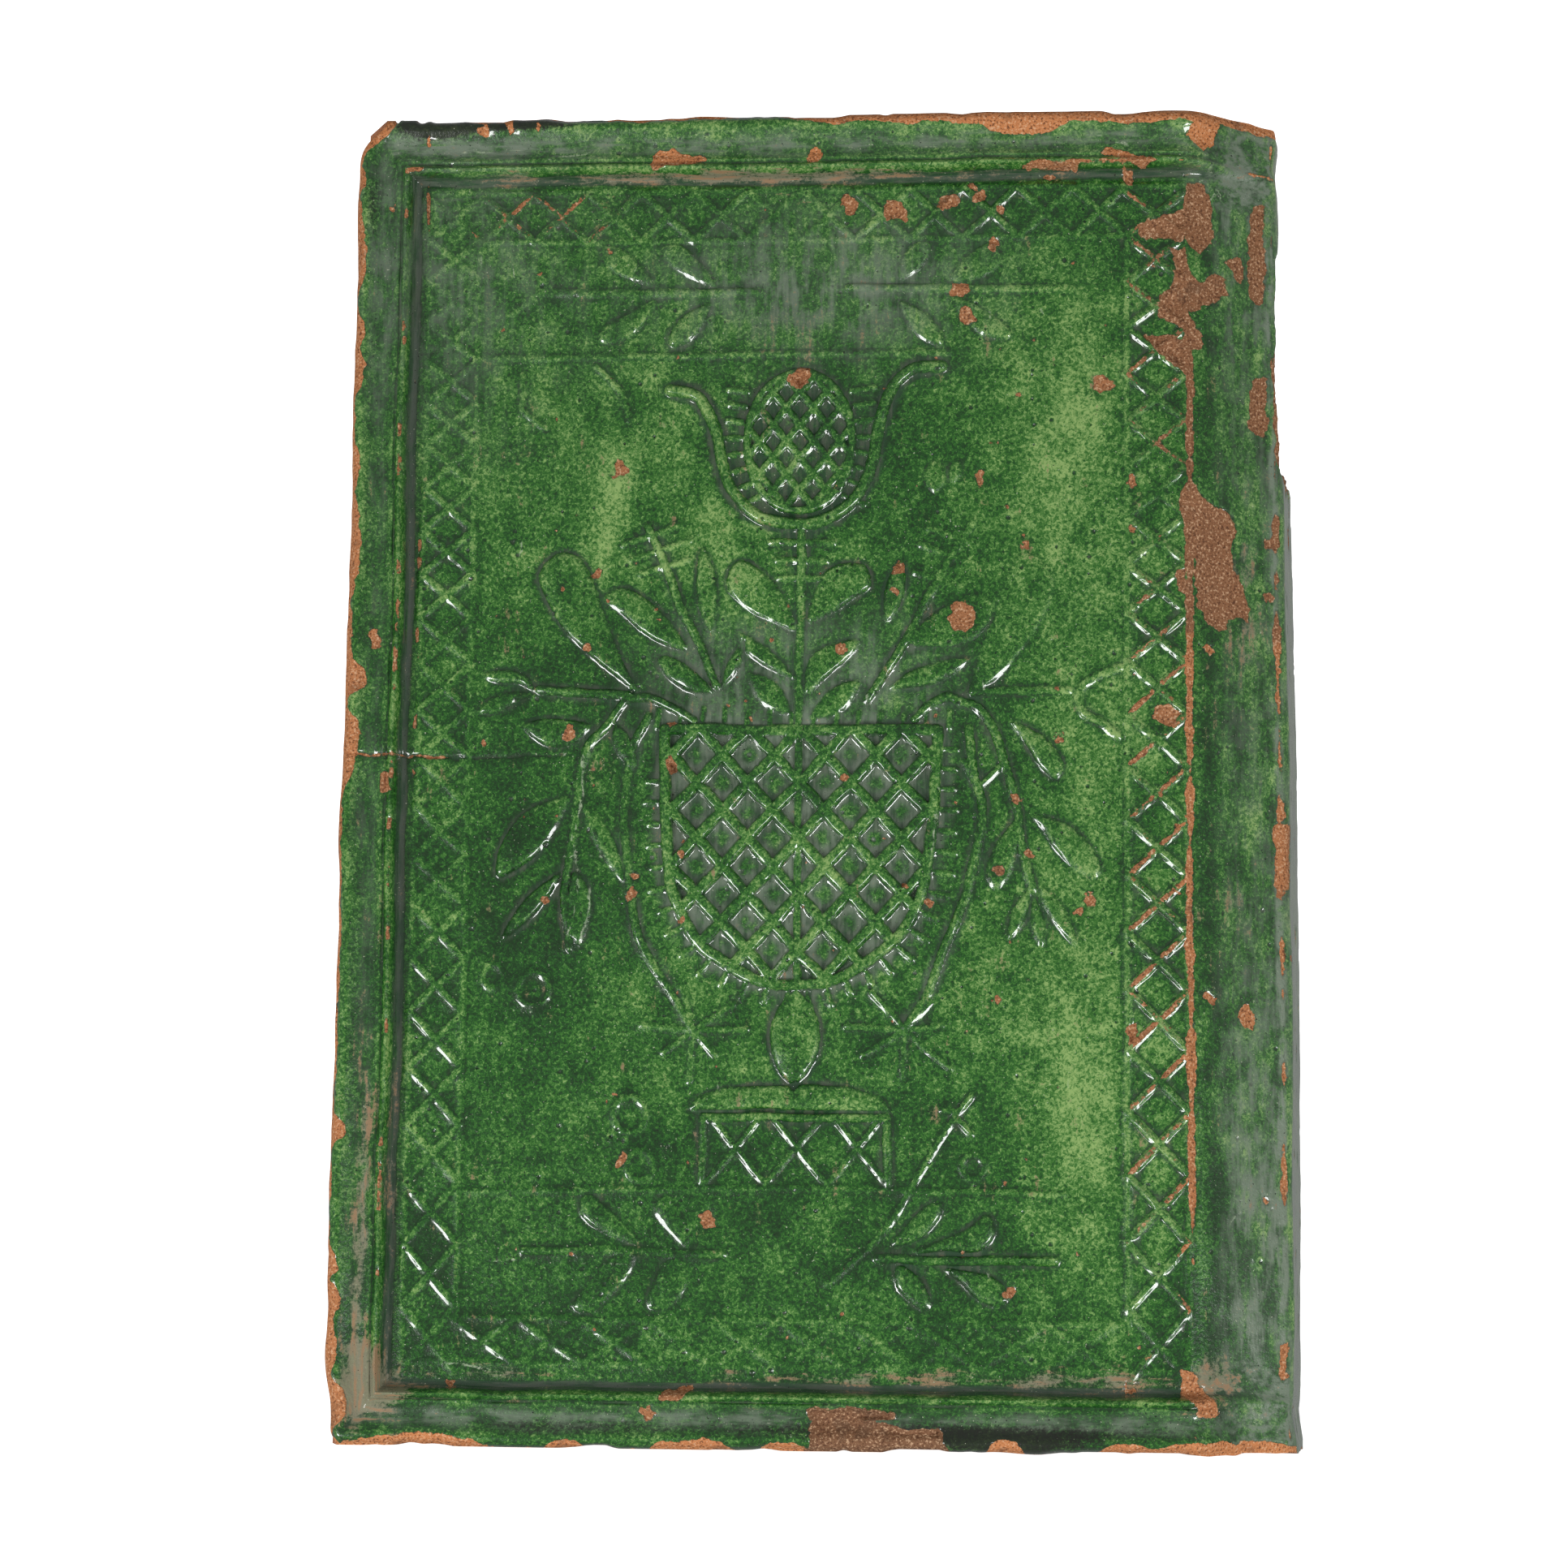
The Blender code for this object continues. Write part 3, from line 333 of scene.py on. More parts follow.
# %% Lower branches
stroke("stem", (-65, 46.5), (-17, 46))
stroke("stem", (20, 45), (62, 45))
petal((-37, 47.5), (-45, 50), (-51, 54), (-52, 58), (-49, 60), (-40, 52.5))
petal((-25.5, 47), (-32, 53), (-34, 57), (-32, 60), (-29, 59), (-25, 51))
petal((-39, 46), (-44, 45), (-49, 39), (-53, 34), (-51, 32), (-47, 32.5), (-39, 41))
petal((-28, 45.5), (-25.5, 43), (-25.5, 38), (-29, 33.5), (-34, 32.5), (-35, 36), (-32, 43))
petal((23, 48), (30, 50), (35, 55), (35, 59), (31, 58), (26, 53))
petal((28, 47), (36, 47), (44, 47), (48, 51), (46, 56), (40, 52))
petal((24, 43.5), (24, 39), (27, 35.5), (31, 33), (33, 35), (31, 40), (27, 43))
petal((36, 43.5), (40, 39.5), (44, 35.5), (49, 34), (51.5, 37), (47, 41.5))
print(len(LEAVES), "leaves")


def lattice(kind, ring, middle, wide, tall):
    """Crossed bars that fill a convex ring, cut off at the ring."""
    ring = [Vector(p) for p in ring]
    reach, each_way, shortest = 80, 14, 4
    for lean in (-1, 1):
        way = Vector((lean * wide, tall)).normalized() * reach
        for k in range(-each_way, each_way + 1):
            through = Vector(middle) + Vector((0, (k + 0.5) * tall))
            ends = through - way, through + way
            sides = zip(ring, ring[1:] + ring[:1])
            hits = [hit for side in sides if (hit := geometry.intersect_line_line_2d(*ends, *side))]
            hits.sort(key=lambda hit: hit.y)
            if len(hits) >= 2 and (hits[-1] - hits[0]).length > shortest:
                stroke(kind, tuple(hits[0]), tuple(hits[-1]))


lattice("vase", vase_ring, (0, 139.1), 12.45, 13.6)
stroke("stem", (-0.3, 172), (0, 111))
lattice("stem", cone[:-1], (CONE_X, CONE_Z), 6.6, 8.2)
print({k: len(v) for k, v in BARS.items()}, "strokes")

# %% [markdown]
# Small helpers. Two turn chains of places into a mesh of bare edges and back. One adds a node to a tree,
# sets it up and links it, and all the node trees below are built with it. The others start a tree, run it
# on an object, end it, and put a bar on each of its points.

# %% Helpers for line work and for node trees
scene = bpy.context.scene
# The kinds of node that the trees use most.
MATH, VECTOR, RANGE = "ShaderNodeMath", "ShaderNodeVectorMath", "ShaderNodeMapRange"
MIX, NOISE = "ShaderNodeMix", "ShaderNodeTexNoise"


def line_object(name, chains, closed=False):
    """A mesh of edges only, or of one flat face for each chain if closed."""
    verts, edges, faces = [], [], []
    for chain in chains:
        first = len(verts)
        verts += [(float(p[0]), 0.0, float(p[1])) for p in chain]
        if closed:
            faces.append(list(range(first, len(verts))))
        else:
            edges += [(i, i + 1) for i in range(first, len(verts) - 1)]
    mesh = bpy.data.meshes.new(name)
    mesh.from_pydata(verts, edges, faces)
    obj = bpy.data.objects.new(name, mesh)
    scene.collection.objects.link(obj)
    return obj


def chains_of(mesh):
    """The edges of a mesh as chains of two places."""
    return [[(mesh.vertices[i].co.x, mesh.vertices[i].co.z) for i in edge.vertices] for edge in mesh.edges]


def feed(node, inputs):
    """Sets a node's inputs, each by a value, by another node's output, or by a node, for its first output."""
    for key, value in dict(inputs).items():
        socket = node.inputs[key]
        if isinstance(value, bpy.types.Node):
            value = value.outputs[0]
        if isinstance(value, bpy.types.NodeSocket):
            node.id_data.links.new(value, socket)
        else:
            socket.default_value = value


def add(tree, kind, inputs=(), **settings):
    """Adds a node with its settings, and with its inputs by name or number."""
    node = tree.nodes.new(kind)
    for key, value in settings.items():
        setattr(node, key, value)
    feed(node, inputs)
    return node


def new_tree(name, sockets):
    """A Geometry Nodes tree with a geometry in and out and the named inputs: (name, type, default)."""
    tree = bpy.data.node_groups.new(name, "GeometryNodeTree")
    tree.interface.new_socket("Geometry", in_out="INPUT", socket_type="NodeSocketGeometry")
    tree.interface.new_socket("Geometry", in_out="OUTPUT", socket_type="NodeSocketGeometry")
    for label, kind, default in sockets:
        socket = tree.interface.new_socket(label, in_out="INPUT", socket_type=kind)
        if default is not None:
            socket.default_value = default
    return tree, tree.nodes.new("NodeGroupInput"), tree.nodes.new("NodeGroupOutput")


def grow(obj, tree, **values):
    """Runs a tree on an object with the given inputs and returns the result as a plain mesh."""
    modifier = obj.modifiers.new(tree.name, "NODES")
    modifier.node_group = tree
    names = {i.name: i.identifier for i in tree.interface.items_tree if i.in_out == "INPUT"}
    for label, value in values.items():
        modifier[names[label.replace("_", " ")]] = value
    result = bpy.data.meshes.new_from_object(obj.evaluated_get(bpy.context.evaluated_depsgraph_get()))
    obj.modifiers.remove(modifier)
    return result


def end_tree(tree, shape, result):
    """Every tree ends alike. Its result is only measured and never seen, so the material stays open."""
    real = add(tree, "GeometryNodeRealizeInstances", {0: shape})
    feed(result, {0: add(tree, "GeometryNodeSetMaterial", {0: real})})


def bars_on(tree, places):
    """Puts a bar of two points on each place. Gives the bars, each one's number, and 0 or 1 for its end."""
    bar = add(tree, "GeometryNodeMeshLine", {"Count": 2, "Offset": (0, 0, 0)})
    stood = add(tree, "GeometryNodeInstanceOnPoints", {"Points": places, "Instance": bar})
    loose = add(tree, "GeometryNodeRealizeInstances", {0: stood})
    index = add(tree, "GeometryNodeInputIndex")
    halved = add(tree, MATH, {0: index, 1: 2.0}, operation="DIVIDE")
    number = add(tree, MATH, {0: halved}, operation="FLOOR")
    end = add(tree, MATH, {0: index, 1: 2.0}, operation="MODULO")
    return loose, number, end


# %% [markdown]
# The border is a row of crosses that repeats along each of its four bands, so it is made with Geometry
# Nodes: a row of points, one cross on each point, and a formula that sets how large each cross is. The
# carver started small at the top and needed larger crosses towards the foot to come out even, which is
# why the formula lets the size grow.

# %% A tree that lays crosses along a band
crosses, given, result = new_tree(
    "Crosses along a band",
    [
        ("Start", "NodeSocketVector", (0, 0, 0)),
        ("Along", "NodeSocketVector", (0, 0, 100)),
        ("Across", "NodeSocketVector", (10, 0, 0)),
        ("Count", "NodeSocketInt", 10),
        ("Growth", "NodeSocketFloat", 1.0),
    ],
)


def reached(number):
    """How much of the band is used up after this many crosses, from 0 to 1."""
    part = add(crosses, MATH, {0: number, 1: given.outputs["Count"]}, operation="DIVIDE")
    rest = add(crosses, MATH, {0: 1.0, 1: part}, operation="SUBTRACT")
    cube = add(crosses, MATH, {0: rest, 1: 3.0}, operation="POWER")
    used = add(crosses, MATH, {0: 1.0, 1: cube}, operation="SUBTRACT")
    extra = add(crosses, MATH, {0: given.outputs["Growth"], 1: 1.0}, operation="SUBTRACT")
    third = add(crosses, MATH, {0: extra, 1: 3.0}, operation="DIVIDE")
    grown = add(crosses, MATH, {0: used, 1: third, 2: part}, operation="MULTIPLY_ADD")
    whole = add(crosses, MATH, {0: third, 1: 1.0}, operation="ADD")
    return add(crosses, MATH, {0: grown, 1: whole}, operation="DIVIDE")


row = add(crosses, "GeometryNodeMeshLine", {"Count": given.outputs["Count"]})
loose, number, end = bars_on(crosses, row)
above = add(crosses, MATH, {0: number, 1: 1.0}, operation="ADD")
share = add(crosses, MIX, {0: end, 2: reached(number), 3: reached(above)})
along = add(crosses, VECTOR, {0: given.outputs["Along"], "Scale": share}, operation="SCALE")
joined = add(crosses, "GeometryNodeJoinGeometry")
for low_end, high_end in ((0.0, 1.0), (1.0, 0.0)):
    over = add(crosses, MIX, {0: end, 2: low_end, 3: high_end})
    across = add(crosses, VECTOR, {0: given.outputs["Across"], "Scale": over}, operation="SCALE")
    both = add(crosses, VECTOR, {0: along, 1: across}, operation="ADD")
    place = add(crosses, VECTOR, {0: both, 1: given.outputs["Start"]}, operation="ADD")
    feed(joined, {0: add(crosses, "GeometryNodeSetPosition", {"Geometry": loose, "Position": place})})
end_tree(crosses, joined, result)

# %% The border's four bands of crosses and its ruled lines
OUTER = (-94.0, 93.7, 19.6, 308.4)  # left, right, foot, head of the outer ruled rectangle
INNER = (-81.2, 79.2, 30.2, 295.6)
seed_line = line_object("band_seed", [[(0, 0), (1, 0)]])
chains = []
for label, start, along, across, count, growth in (
    ("head", (-81.2, 0, 295.6), (160.4, 0, 0), (0, 0, 12.8), 12, 1.0),
    ("foot", (-82.0, 0, 19.6), (157.6, 0, 0), (0, 0, 10.6), 10, 1.0),
    ("left", (-94.0, 0, 17.6), (0, 0, 289.2), (12.8, 0, 0), 24, 1.5),
    ("right", (79.2, 0, 17.6), (0, 0, 289.2), (14.5, 0, 0), 22, 1.45),
):
    mesh = grow(seed_line, crosses, Start=start, Along=along, Across=across, Count=count, Growth=growth)
    chains += chains_of(mesh)
    print(label, "band:", len(mesh.edges), "bars")
for left, right, foot, head in (OUTER, INNER):
    stroke("ruled", (left, foot), (right, foot), (right, head), (left, head), (left, foot))
border = line_object("border_lines", chains)

# %% [markdown]
# The fringes of the vase and of the flower are rows of short ticks that stand on a curve. A second tree
# walks along any curve, stops at even distances and puts a tick across it, each one a little longer or
# shorter than the next, from a fixed seed.

# %% A tree that stands ticks along a curve
ticks, given, result = new_tree(
    "Ticks along a curve",
    [
        ("Spacing", "NodeSocketFloat", 5.0),
        ("Length", "NodeSocketFloat", 4.0),
        ("Lean", "NodeSocketFloat", 0.0),
        ("Seed", "NodeSocketInt", 3),
    ],
)
SHORTEST, LONGEST = 0.75, 1.2  # shares of the given length
curve = add(ticks, "GeometryNodeMeshToCurve", {0: given.outputs["Geometry"]})
even = {"Curve": curve, "Length": given.outputs["Spacing"]}
stops = add(ticks, "GeometryNodeResampleCurve", even, mode="LENGTH")
noted = {"Geometry": stops, "Name": "way", "Value": add(ticks, "GeometryNodeInputTangent")}
stored = add(ticks, "GeometryNodeStoreNamedAttribute", noted, data_type="FLOAT_VECTOR", domain="POINT")
points = add(ticks, "GeometryNodeCurveToPoints", {"Curve": stored}, mode="EVALUATED")
loose, number, end = bars_on(ticks, points)
limits = {2: SHORTEST, 3: LONGEST, "ID": number, "Seed": given.outputs["Seed"]}
chance = add(ticks, "FunctionNodeRandomValue", limits, data_type="FLOAT").outputs[1]
way = add(ticks, "GeometryNodeInputNamedAttribute", {"Name": "way"}, data_type="FLOAT_VECTOR")
outward = add(ticks, VECTOR, {0: way, 1: (0, 1, 0)}, operation="CROSS_PRODUCT")
leaning = add(ticks, VECTOR, {0: way, "Scale": given.outputs["Lean"]}, operation="SCALE")
aim = add(ticks, VECTOR, {0: outward, 1: leaning}, operation="ADD")
length = add(ticks, MATH, {0: chance, 1: given.outputs["Length"]}, operation="MULTIPLY")
reach = add(ticks, MATH, {0: length, 1: end}, operation="MULTIPLY")
shift = add(ticks, VECTOR, {0: aim, "Scale": reach}, operation="SCALE")
end_tree(ticks, add(ticks, "GeometryNodeSetPosition", {"Geometry": loose, "Offset": shift}), result)

# %% The fringes of the vase, its rim and the flower
FRINGES = (  # spacing, length and lean of the ticks, then the places that the curve runs through
    (5.1, 3.8, 0.1, (-35, 173.2), (36, 173.2)),
    (5.0, 4.4, 0.0, (34.3, 168), (34, 156), (32.8, 142), (30, 129.5), (23, 118.5), (14, 112.5), (2, 109)),
    (5.0, 3.9, 0.0, (-2, 109), (-14, 112), (-23, 117.5), (-29, 127), (-32, 138), (-33.2, 150), (-33.6, 160)),
    (3.5, 4.6, 0.0, (12, 257), (13.5, 246), (12.6, 237), (10, 230.5)),
    (3.5, 4.6, 0.0, (-11, 230.5), (-13.8, 237), (-15, 246), (-13.8, 257)),
)
for number, (spacing, length, lean, *places) in enumerate(FRINGES):
    straight = len(places) == 2
    curve_object = line_object(f"fringe_{number}", [places if straight else curved(places)])
    mesh = grow(curve_object, ticks, Spacing=spacing, Length=length, Lean=lean, Seed=number)
    BARS["fine"] += chains_of(mesh)
    bpy.data.objects.remove(curve_object)
    print("fringe", number, len(mesh.edges), "ticks")
bar_objects = {kind: line_object(f"{kind}_lines", chains) for kind, chains in BARS.items()}
bar_objects["border"] = border
leaf_object = line_object("leaf_faces", LEAVES, closed=True)
leaf_edges = line_object("leaf_edges", [[*outline, outline[0]] for outline in LEAVES])

# %% [markdown]
# Pressing the clay. For each point of the flat sheet a tree asks how far the nearest stroke is, and
# turns that distance into height: full on the stroke, falling softly to nothing at half the stroke's
# width. Leaves are asked twice: whether the point lies on a leaf, and how far the leaf's edge is. The
# tree first pushes the question a little aside with noise, so that no line comes out ruler-straight.

# %% A tree that presses strokes and leaves into the sheet
STROKES = {  # kind: width, width of its flat top, height
    "border": (2.7, 0.7, 0.95), "ruled": (2.6, 0.3, 0.65), "vase": (3.5, 1.7, 1.45),
    "stem": (2.7, 0.9, 1.1), "fine": (2.2, 0.5, 0.72), "bold": (3.8, 1.2, 1.6),
}
LEAF = {"bevel": 1.0, "height": 0.95, "dome": 0.4, "groove": 0.22}
DOME_REACH, GROOVE_FROM, GROOVE_TO = 4.5, 0.5, 2.8  # from a leaf's edge
MELTED = 0.15  # how softly two strokes run into each other
sockets = [("Shake", "NodeSocketFloat", 0.35), ("Shake size", "NodeSocketFloat", 14.0)]
sockets += [(f"Leaf {what}", "NodeSocketFloat", size) for what, size in LEAF.items()]
sockets += [(f"{kind} lines", "NodeSocketObject", None) for kind in [*STROKES, "leaf", "rim"]]
for kind, sizes in STROKES.items():
    named = zip(("width", "flat", "height"), sizes)
    sockets += [(f"{kind} {what}", "NodeSocketFloat", size) for what, size in named]
press, given, result = new_tree("Pressed relief", sockets)
position = add(press, "GeometryNodeInputPosition")
wave = add(press, MATH, {0: 1.0, 1: given.outputs["Shake size"]}, operation="DIVIDE")
shaking = add(press, NOISE, {"Vector": position, "Scale": wave, "Detail": 2.0}).outputs["Color"]
centred = add(press, VECTOR, {0: shaking, 1: (0.5, 0.5, 0.5)}, operation="SUBTRACT")
flat = add(press, VECTOR, {0: centred, 1: (4.0, 0.0, 4.0)}, operation="MULTIPLY")
pushed = add(press, VECTOR, {0: flat, "Scale": given.outputs["Shake"]}, operation="SCALE")
asked = add(press, VECTOR, {0: position, 1: pushed}, operation="ADD")


def distance_to(lines, target="EDGES"):
    """How far the asked place is from the edges or faces of an object input."""
    shape = add(press, "GeometryNodeObjectInfo", {"Object": given.outputs[f"{lines} lines"]})
    question = {"Geometry": shape.outputs["Geometry"], "Sample Position": asked}
    return add(press, "GeometryNodeProximity", question, target_element=target).outputs["Distance"]


total = None
for kind in STROKES:
    wide, level = given.outputs[f"{kind} width"], given.outputs[f"{kind} flat"]
    half, top = (add(press, MATH, {0: across, 1: 0.5}, operation="MULTIPLY") for across in (wide, level))
    slope = {0: distance_to(kind), 1: top, 2: half, 3: given.outputs[f"{kind} height"], 4: 0.0}
    fall = add(press, RANGE, slope, interpolation_type="SMOOTHSTEP")
    joint = {0: fall if total is None else total, 1: fall, 2: MELTED}
    total = fall if total is None else add(press, MATH, joint, operation="SMOOTH_MAX")
inside = add(press, MATH, {0: distance_to("leaf", "FACES"), 1: 0.001}, operation="LESS_THAN")
rim = distance_to("rim")
leaf_shape = {0: rim, 2: given.outputs["Leaf bevel"], 4: given.outputs["Leaf height"]}
pad = add(press, RANGE, leaf_shape, interpolation_type="SMOOTHERSTEP")
dome_shape = {0: rim, 2: DOME_REACH, 4: given.outputs["Leaf dome"]}
dome = add(press, RANGE, dome_shape, interpolation_type="SMOOTHSTEP")
domed = add(press, MATH, {0: pad, 1: dome}, operation="ADD")
kept = add(press, MATH, {0: domed, 1: inside}, operation="MULTIPLY")
total = add(press, MATH, {0: total, 1: kept, 2: MELTED}, operation="SMOOTH_MAX")
# The carver undercut each leaf all round, so the clay dips before it rises to the field.
dip_shape = {0: rim, 1: GROOVE_FROM, 2: GROOVE_TO, 3: given.outputs["Leaf groove"], 4: 0.0}
dip = add(press, RANGE, dip_shape, interpolation_type="SMOOTHSTEP")
outside = add(press, MATH, {0: 1.0, 1: inside}, operation="SUBTRACT")
dipped = add(press, MATH, {0: dip, 1: outside}, operation="MULTIPLY")
total = add(press, MATH, {0: total, 1: dipped}, operation="SUBTRACT")
noted = {"Geometry": given.outputs["Geometry"], "Name": "relief", "Value": total}
stored = add(press, "GeometryNodeStoreNamedAttribute", noted, data_type="FLOAT", domain="POINT")
end_tree(press, stored, result)

# %% Press the drawing into the flat sheet
carved_columns = int(np.searchsorted(run, face_end + 2))
flat_points = np.zeros((carved_columns, len(rise), 3), np.float32)
flat_points[..., 0] = S[:carved_columns] - LEFT
flat_points[..., 2] = Z[:carved_columns]
flat_mesh = bpy.data.meshes.new("flat_sheet")
flat_mesh.vertices.add(flat_points.size // 3)
flat_mesh.vertices.foreach_set("co", flat_points.ravel())
flat_sheet = bpy.data.objects.new("flat_sheet", flat_mesh)
scene.collection.objects.link(flat_sheet)
inputs = {f"{kind} lines": obj for kind, obj in bar_objects.items()}
inputs |= {"leaf lines": leaf_object, "rim lines": leaf_edges}
pressed = grow(flat_sheet, press, **inputs)
relief = np.zeros(S.shape)
values = np.zeros(len(pressed.vertices), np.float32)
pressed.attributes["relief"].data.foreach_get("value", values)
relief[:carved_columns] = values.reshape(carved_columns, -1)
for obj in [seed_line, leaf_object, leaf_edges, flat_sheet, *bar_objects.values()]:
    bpy.data.objects.remove(obj)
print("relief up to", relief.max(), "mm")

# %% [markdown]
# The moulded frame is one section that runs round the left, head and foot: a rim, a hollow, a ridge and
# a steep step down to the field. Measuring each point's distance from the three edges, as a share of
# the moulding's width there, and taking the smallest gives mitred corners for nothing. The section dies
# out over the corner band, as on the real tile.

# %% The moulded frame
RIDGE_IN = {"left": 12.5, "head": 13.6, "foot": 12.4}
SECTION = (  # share of the way in to the ridge, height over the field
    (0.0, 2.4), (0.04, 3.6), (0.10, 4.5), (0.18, 4.8), (0.26, 4.5), (0.36, 3.5), (0.48, 2.75), (0.62, 2.5),
    (0.74, 2.9), (0.83, 3.7), (0.87, 3.3), (0.91, 3.5), (0.95, 4.4), (1.0, 4.6),
)
INSIDE = (  # mm past the ridge, height over the field
    (0.0, 4.4), (0.5, 3.9), (1.0, 2.4), (1.5, 0.9), (2.0, 0.1), (2.8, -0.2), (3.5, 0.0),
)
wander = 0.45 * noise(S, Z, 30.0, 11)
to_edge = {"left": S, "head": TALL - Z, "foot": Z}
each_share = [(to_edge[side] + wander) / RIDGE_IN[side] for side in to_edge]
shares = np.minimum.reduce(each_share)
past_ridge = np.minimum.reduce([to_edge[side] + wander - RIDGE_IN[side] for side in to_edge])
section_at, section_height = np.array(SECTION).T
moulding = np.interp(np.clip(shares, 0, 1), section_at, section_height)
inside_at, inside_height = np.array(INSIDE).T
moulding = np.where(past_ridge > 0, np.interp(past_ridge, inside_at, inside_height), moulding)
fade = 1 - 0.8 * smooth(S, face_end - 6, face_end + 14)
past_band = smooth(S, outer_arris(Z) - 3, outer_arris(Z) + 2)
side_frame = np.interp(np.minimum(Z, TALL - Z), [0, 2.5, 6, 10, 16], [0.5, 0.5, 0.0, -0.5, 0.0])
swell = 1.3 * np.sin(np.pi * np.clip((Z - 12) / (TALL - 24), 0, 1)) * past_band
height = moulding * fade * (1 - past_band) + (side_frame + 0.4) * past_band + swell

# %% The unevenness of hand-pressed clay, and where the mould was worn
def patch(x, z, wide, tall, power=2):
    """1 at a place in the front view, about a third at the given half widths, and 0 well outside."""
    return np.exp(-(((base_x - x) / wide) ** power) - ((Z - z) / tall) ** power)


swells, dents, dabs = 0.30 * noise(S, Z, 34.0, 5), 0.14 * noise(S, Z, 11.0, 6), 0.05 * noise(S, Z, 3.5, 7)
height += swells + dents * (1 - 0.5 * past_band) + dabs
rubbed = 0.92 + 0.45 * noise(S, Z, 22.0, 8) + 0.2 * noise(S, Z, 6.0, 9)
at_left, at_foot = 0.6 + 0.4 * smooth(S, 30, 36), 0.55 + 0.45 * smooth(Z, 28, 34)
rubbed *= at_left * at_foot * (1 - 0.25 * smooth(Z, 292, 297))
on_right = smooth(S, LEFT + 76, LEFT + 79)
rubbed *= 1 - 0.35 * smooth(Z, 256, 270) * (1 - smooth(Z, 290, 296)) * (1 - on_right)
rubbed *= 1 - 0.25 * smooth(-Z, -80, -62) * (1 - on_right)
rubbed *= 1 - 0.2 * on_right * smooth(Z, 165, 190)
FAINT = (  # x, z, half width, half height, share lost
    (54, 200, 22, 26, 0.45), (58, 138, 20, 36, 0.25), (-69, 110, 10, 8, 0.45), (-38.5, 73, 6, 11, 0.4),
    (42.3, 67.3, 5, 6, 0.4), (32, 99, 15, 13, 0.35),
)
for *place, share in FAINT:
    rubbed *= 1 - share * patch(*place, power=4)
LEAST, MOST = 0.3, 1.15  # of the carved height
height += relief * np.clip(rubbed, LEAST, MOST)
print("height over the field", height.min(), height.max())

# %% [markdown]
# Wear. A large chip is an outline, a small one is a place and a radius, and noise makes their edges
# ragged. A signed distance in millimetres, below zero inside a chip, says later where the clay shows,
# and here it lowers the surface by the thickness of the glaze. The arris and the rims are worn by the
# same means: a strip whose width wanders along the edge.

# %% Chips out of the glaze: their outlines, and the small ones by place and size
CHIPS = (
    ((94, 309), (98, 309), (99.5, 306.5), (100.5, 301), (101, 296), (97.5, 291), (95, 292.5),
     (93.5, 296), (93.5, 305)),
    ((93.5, 302.5), (93.5, 294), (90, 295), (82.5, 295), (82, 297.5), (86, 299.5), (88, 301)),
    ((90, 292.5), (93.5, 293), (94, 286.5), (97.5, 284), (101, 287), (103.5, 286), (104.5, 282),
     (101, 280), (97.5, 278), (96, 276), (94, 276.5), (95, 274), (97.5, 270.5), (97.5, 267),
     (94.5, 266.5), (94.5, 260.5), (93, 260), (89, 264.5), (86.5, 266), (83, 270.5), (89, 270.5),
     (92.5, 269.5), (93, 272), (87, 275.5), (88, 280.5), (90, 283.5), (91.5, 286.5)),
    ((103.5, 290.5), (105.5, 292), (108, 291.5), (108, 285.5), (106.5, 285.5), (105.5, 288.5)),
    ((111, 306.5), (113.5, 307), (113.5, 281), (111, 280.5), (109.5, 284), (109.5, 297.5)),
    ((110.5, 261), (114, 263), (114, 250.5), (112.5, 247), (109, 249)),
    ((93, 321), (97, 316.5), (100, 319), (101, 324.5), (104.5, 326), (104.5, 328), (92, 328),
     (91.5, 325.5), (95, 323.5)),
    ((92, 231.5), (94, 234), (96, 232.5), (97, 230), (100.5, 228.5), (104, 226.5), (106, 222.5),
     (104.5, 217.5), (105.5, 213), (107.5, 208.5), (109, 204), (109, 200), (106.5, 201.5), (104, 200.5),
     (103.5, 198), (101.5, 197), (98, 199.5), (96.5, 203), (95.5, 208.5), (95.5, 214.5), (94, 217),
     (92, 226)),
    ((90.5, 211.5), (93, 212.5), (94, 205), (92, 206.5)),
    ((86, 178.5), (89, 179), (92, 177), (91, 173), (88.5, 173.5), (85, 175.5)),
    ((107.5, 107.5), (110, 104.5), (109, 100.5), (107, 100.5), (105.5, 104)),
    ((79, 101), (81.5, 101.5), (81.5, 99.5), (80, 96), (79, 96)),
    ((91.5, 20), (94, 19.5), (95.5, 18), (97, 14.5), (98.5, 12.5), (99.5, 9.5), (95, 9), (94, 12.5),
     (91.5, 14)),
    ((114.5, 151), (117.5, 151), (117.5, 142), (117, 133), (115.5, 133), (115, 144)),
    ((115, 26.5), (117, 27), (117, 18), (115.5, 18)),
    ((-39, 314.5), (-37.5, 318), (-33, 318.5), (-31, 317), (-27, 316.5), (-25, 317), (-24, 315.5),
     (-31, 314), (-38, 313)),
    ((53.5, 313), (57, 314), (62, 313.5), (68, 314), (67, 312), (54, 312)),
    ((73, 315.5), (74, 317.5), (78, 317), (82, 315), (87, 314), (83, 312.5), (80, 313), (76, 315)),
    ((78, 312), (80.5, 312), (80.5, 308.5), (78.5, 308.5)),
    ((-106, 197), (-104, 197), (-103, 193), (-105.5, 192.5)),
    ((-102, 161.5), (-100, 161), (-99, 157), (-102, 156.5)),
    ((-32, 12), (-30, 14), (-24, 15), (-23, 14), (-27, 11.5)),
)
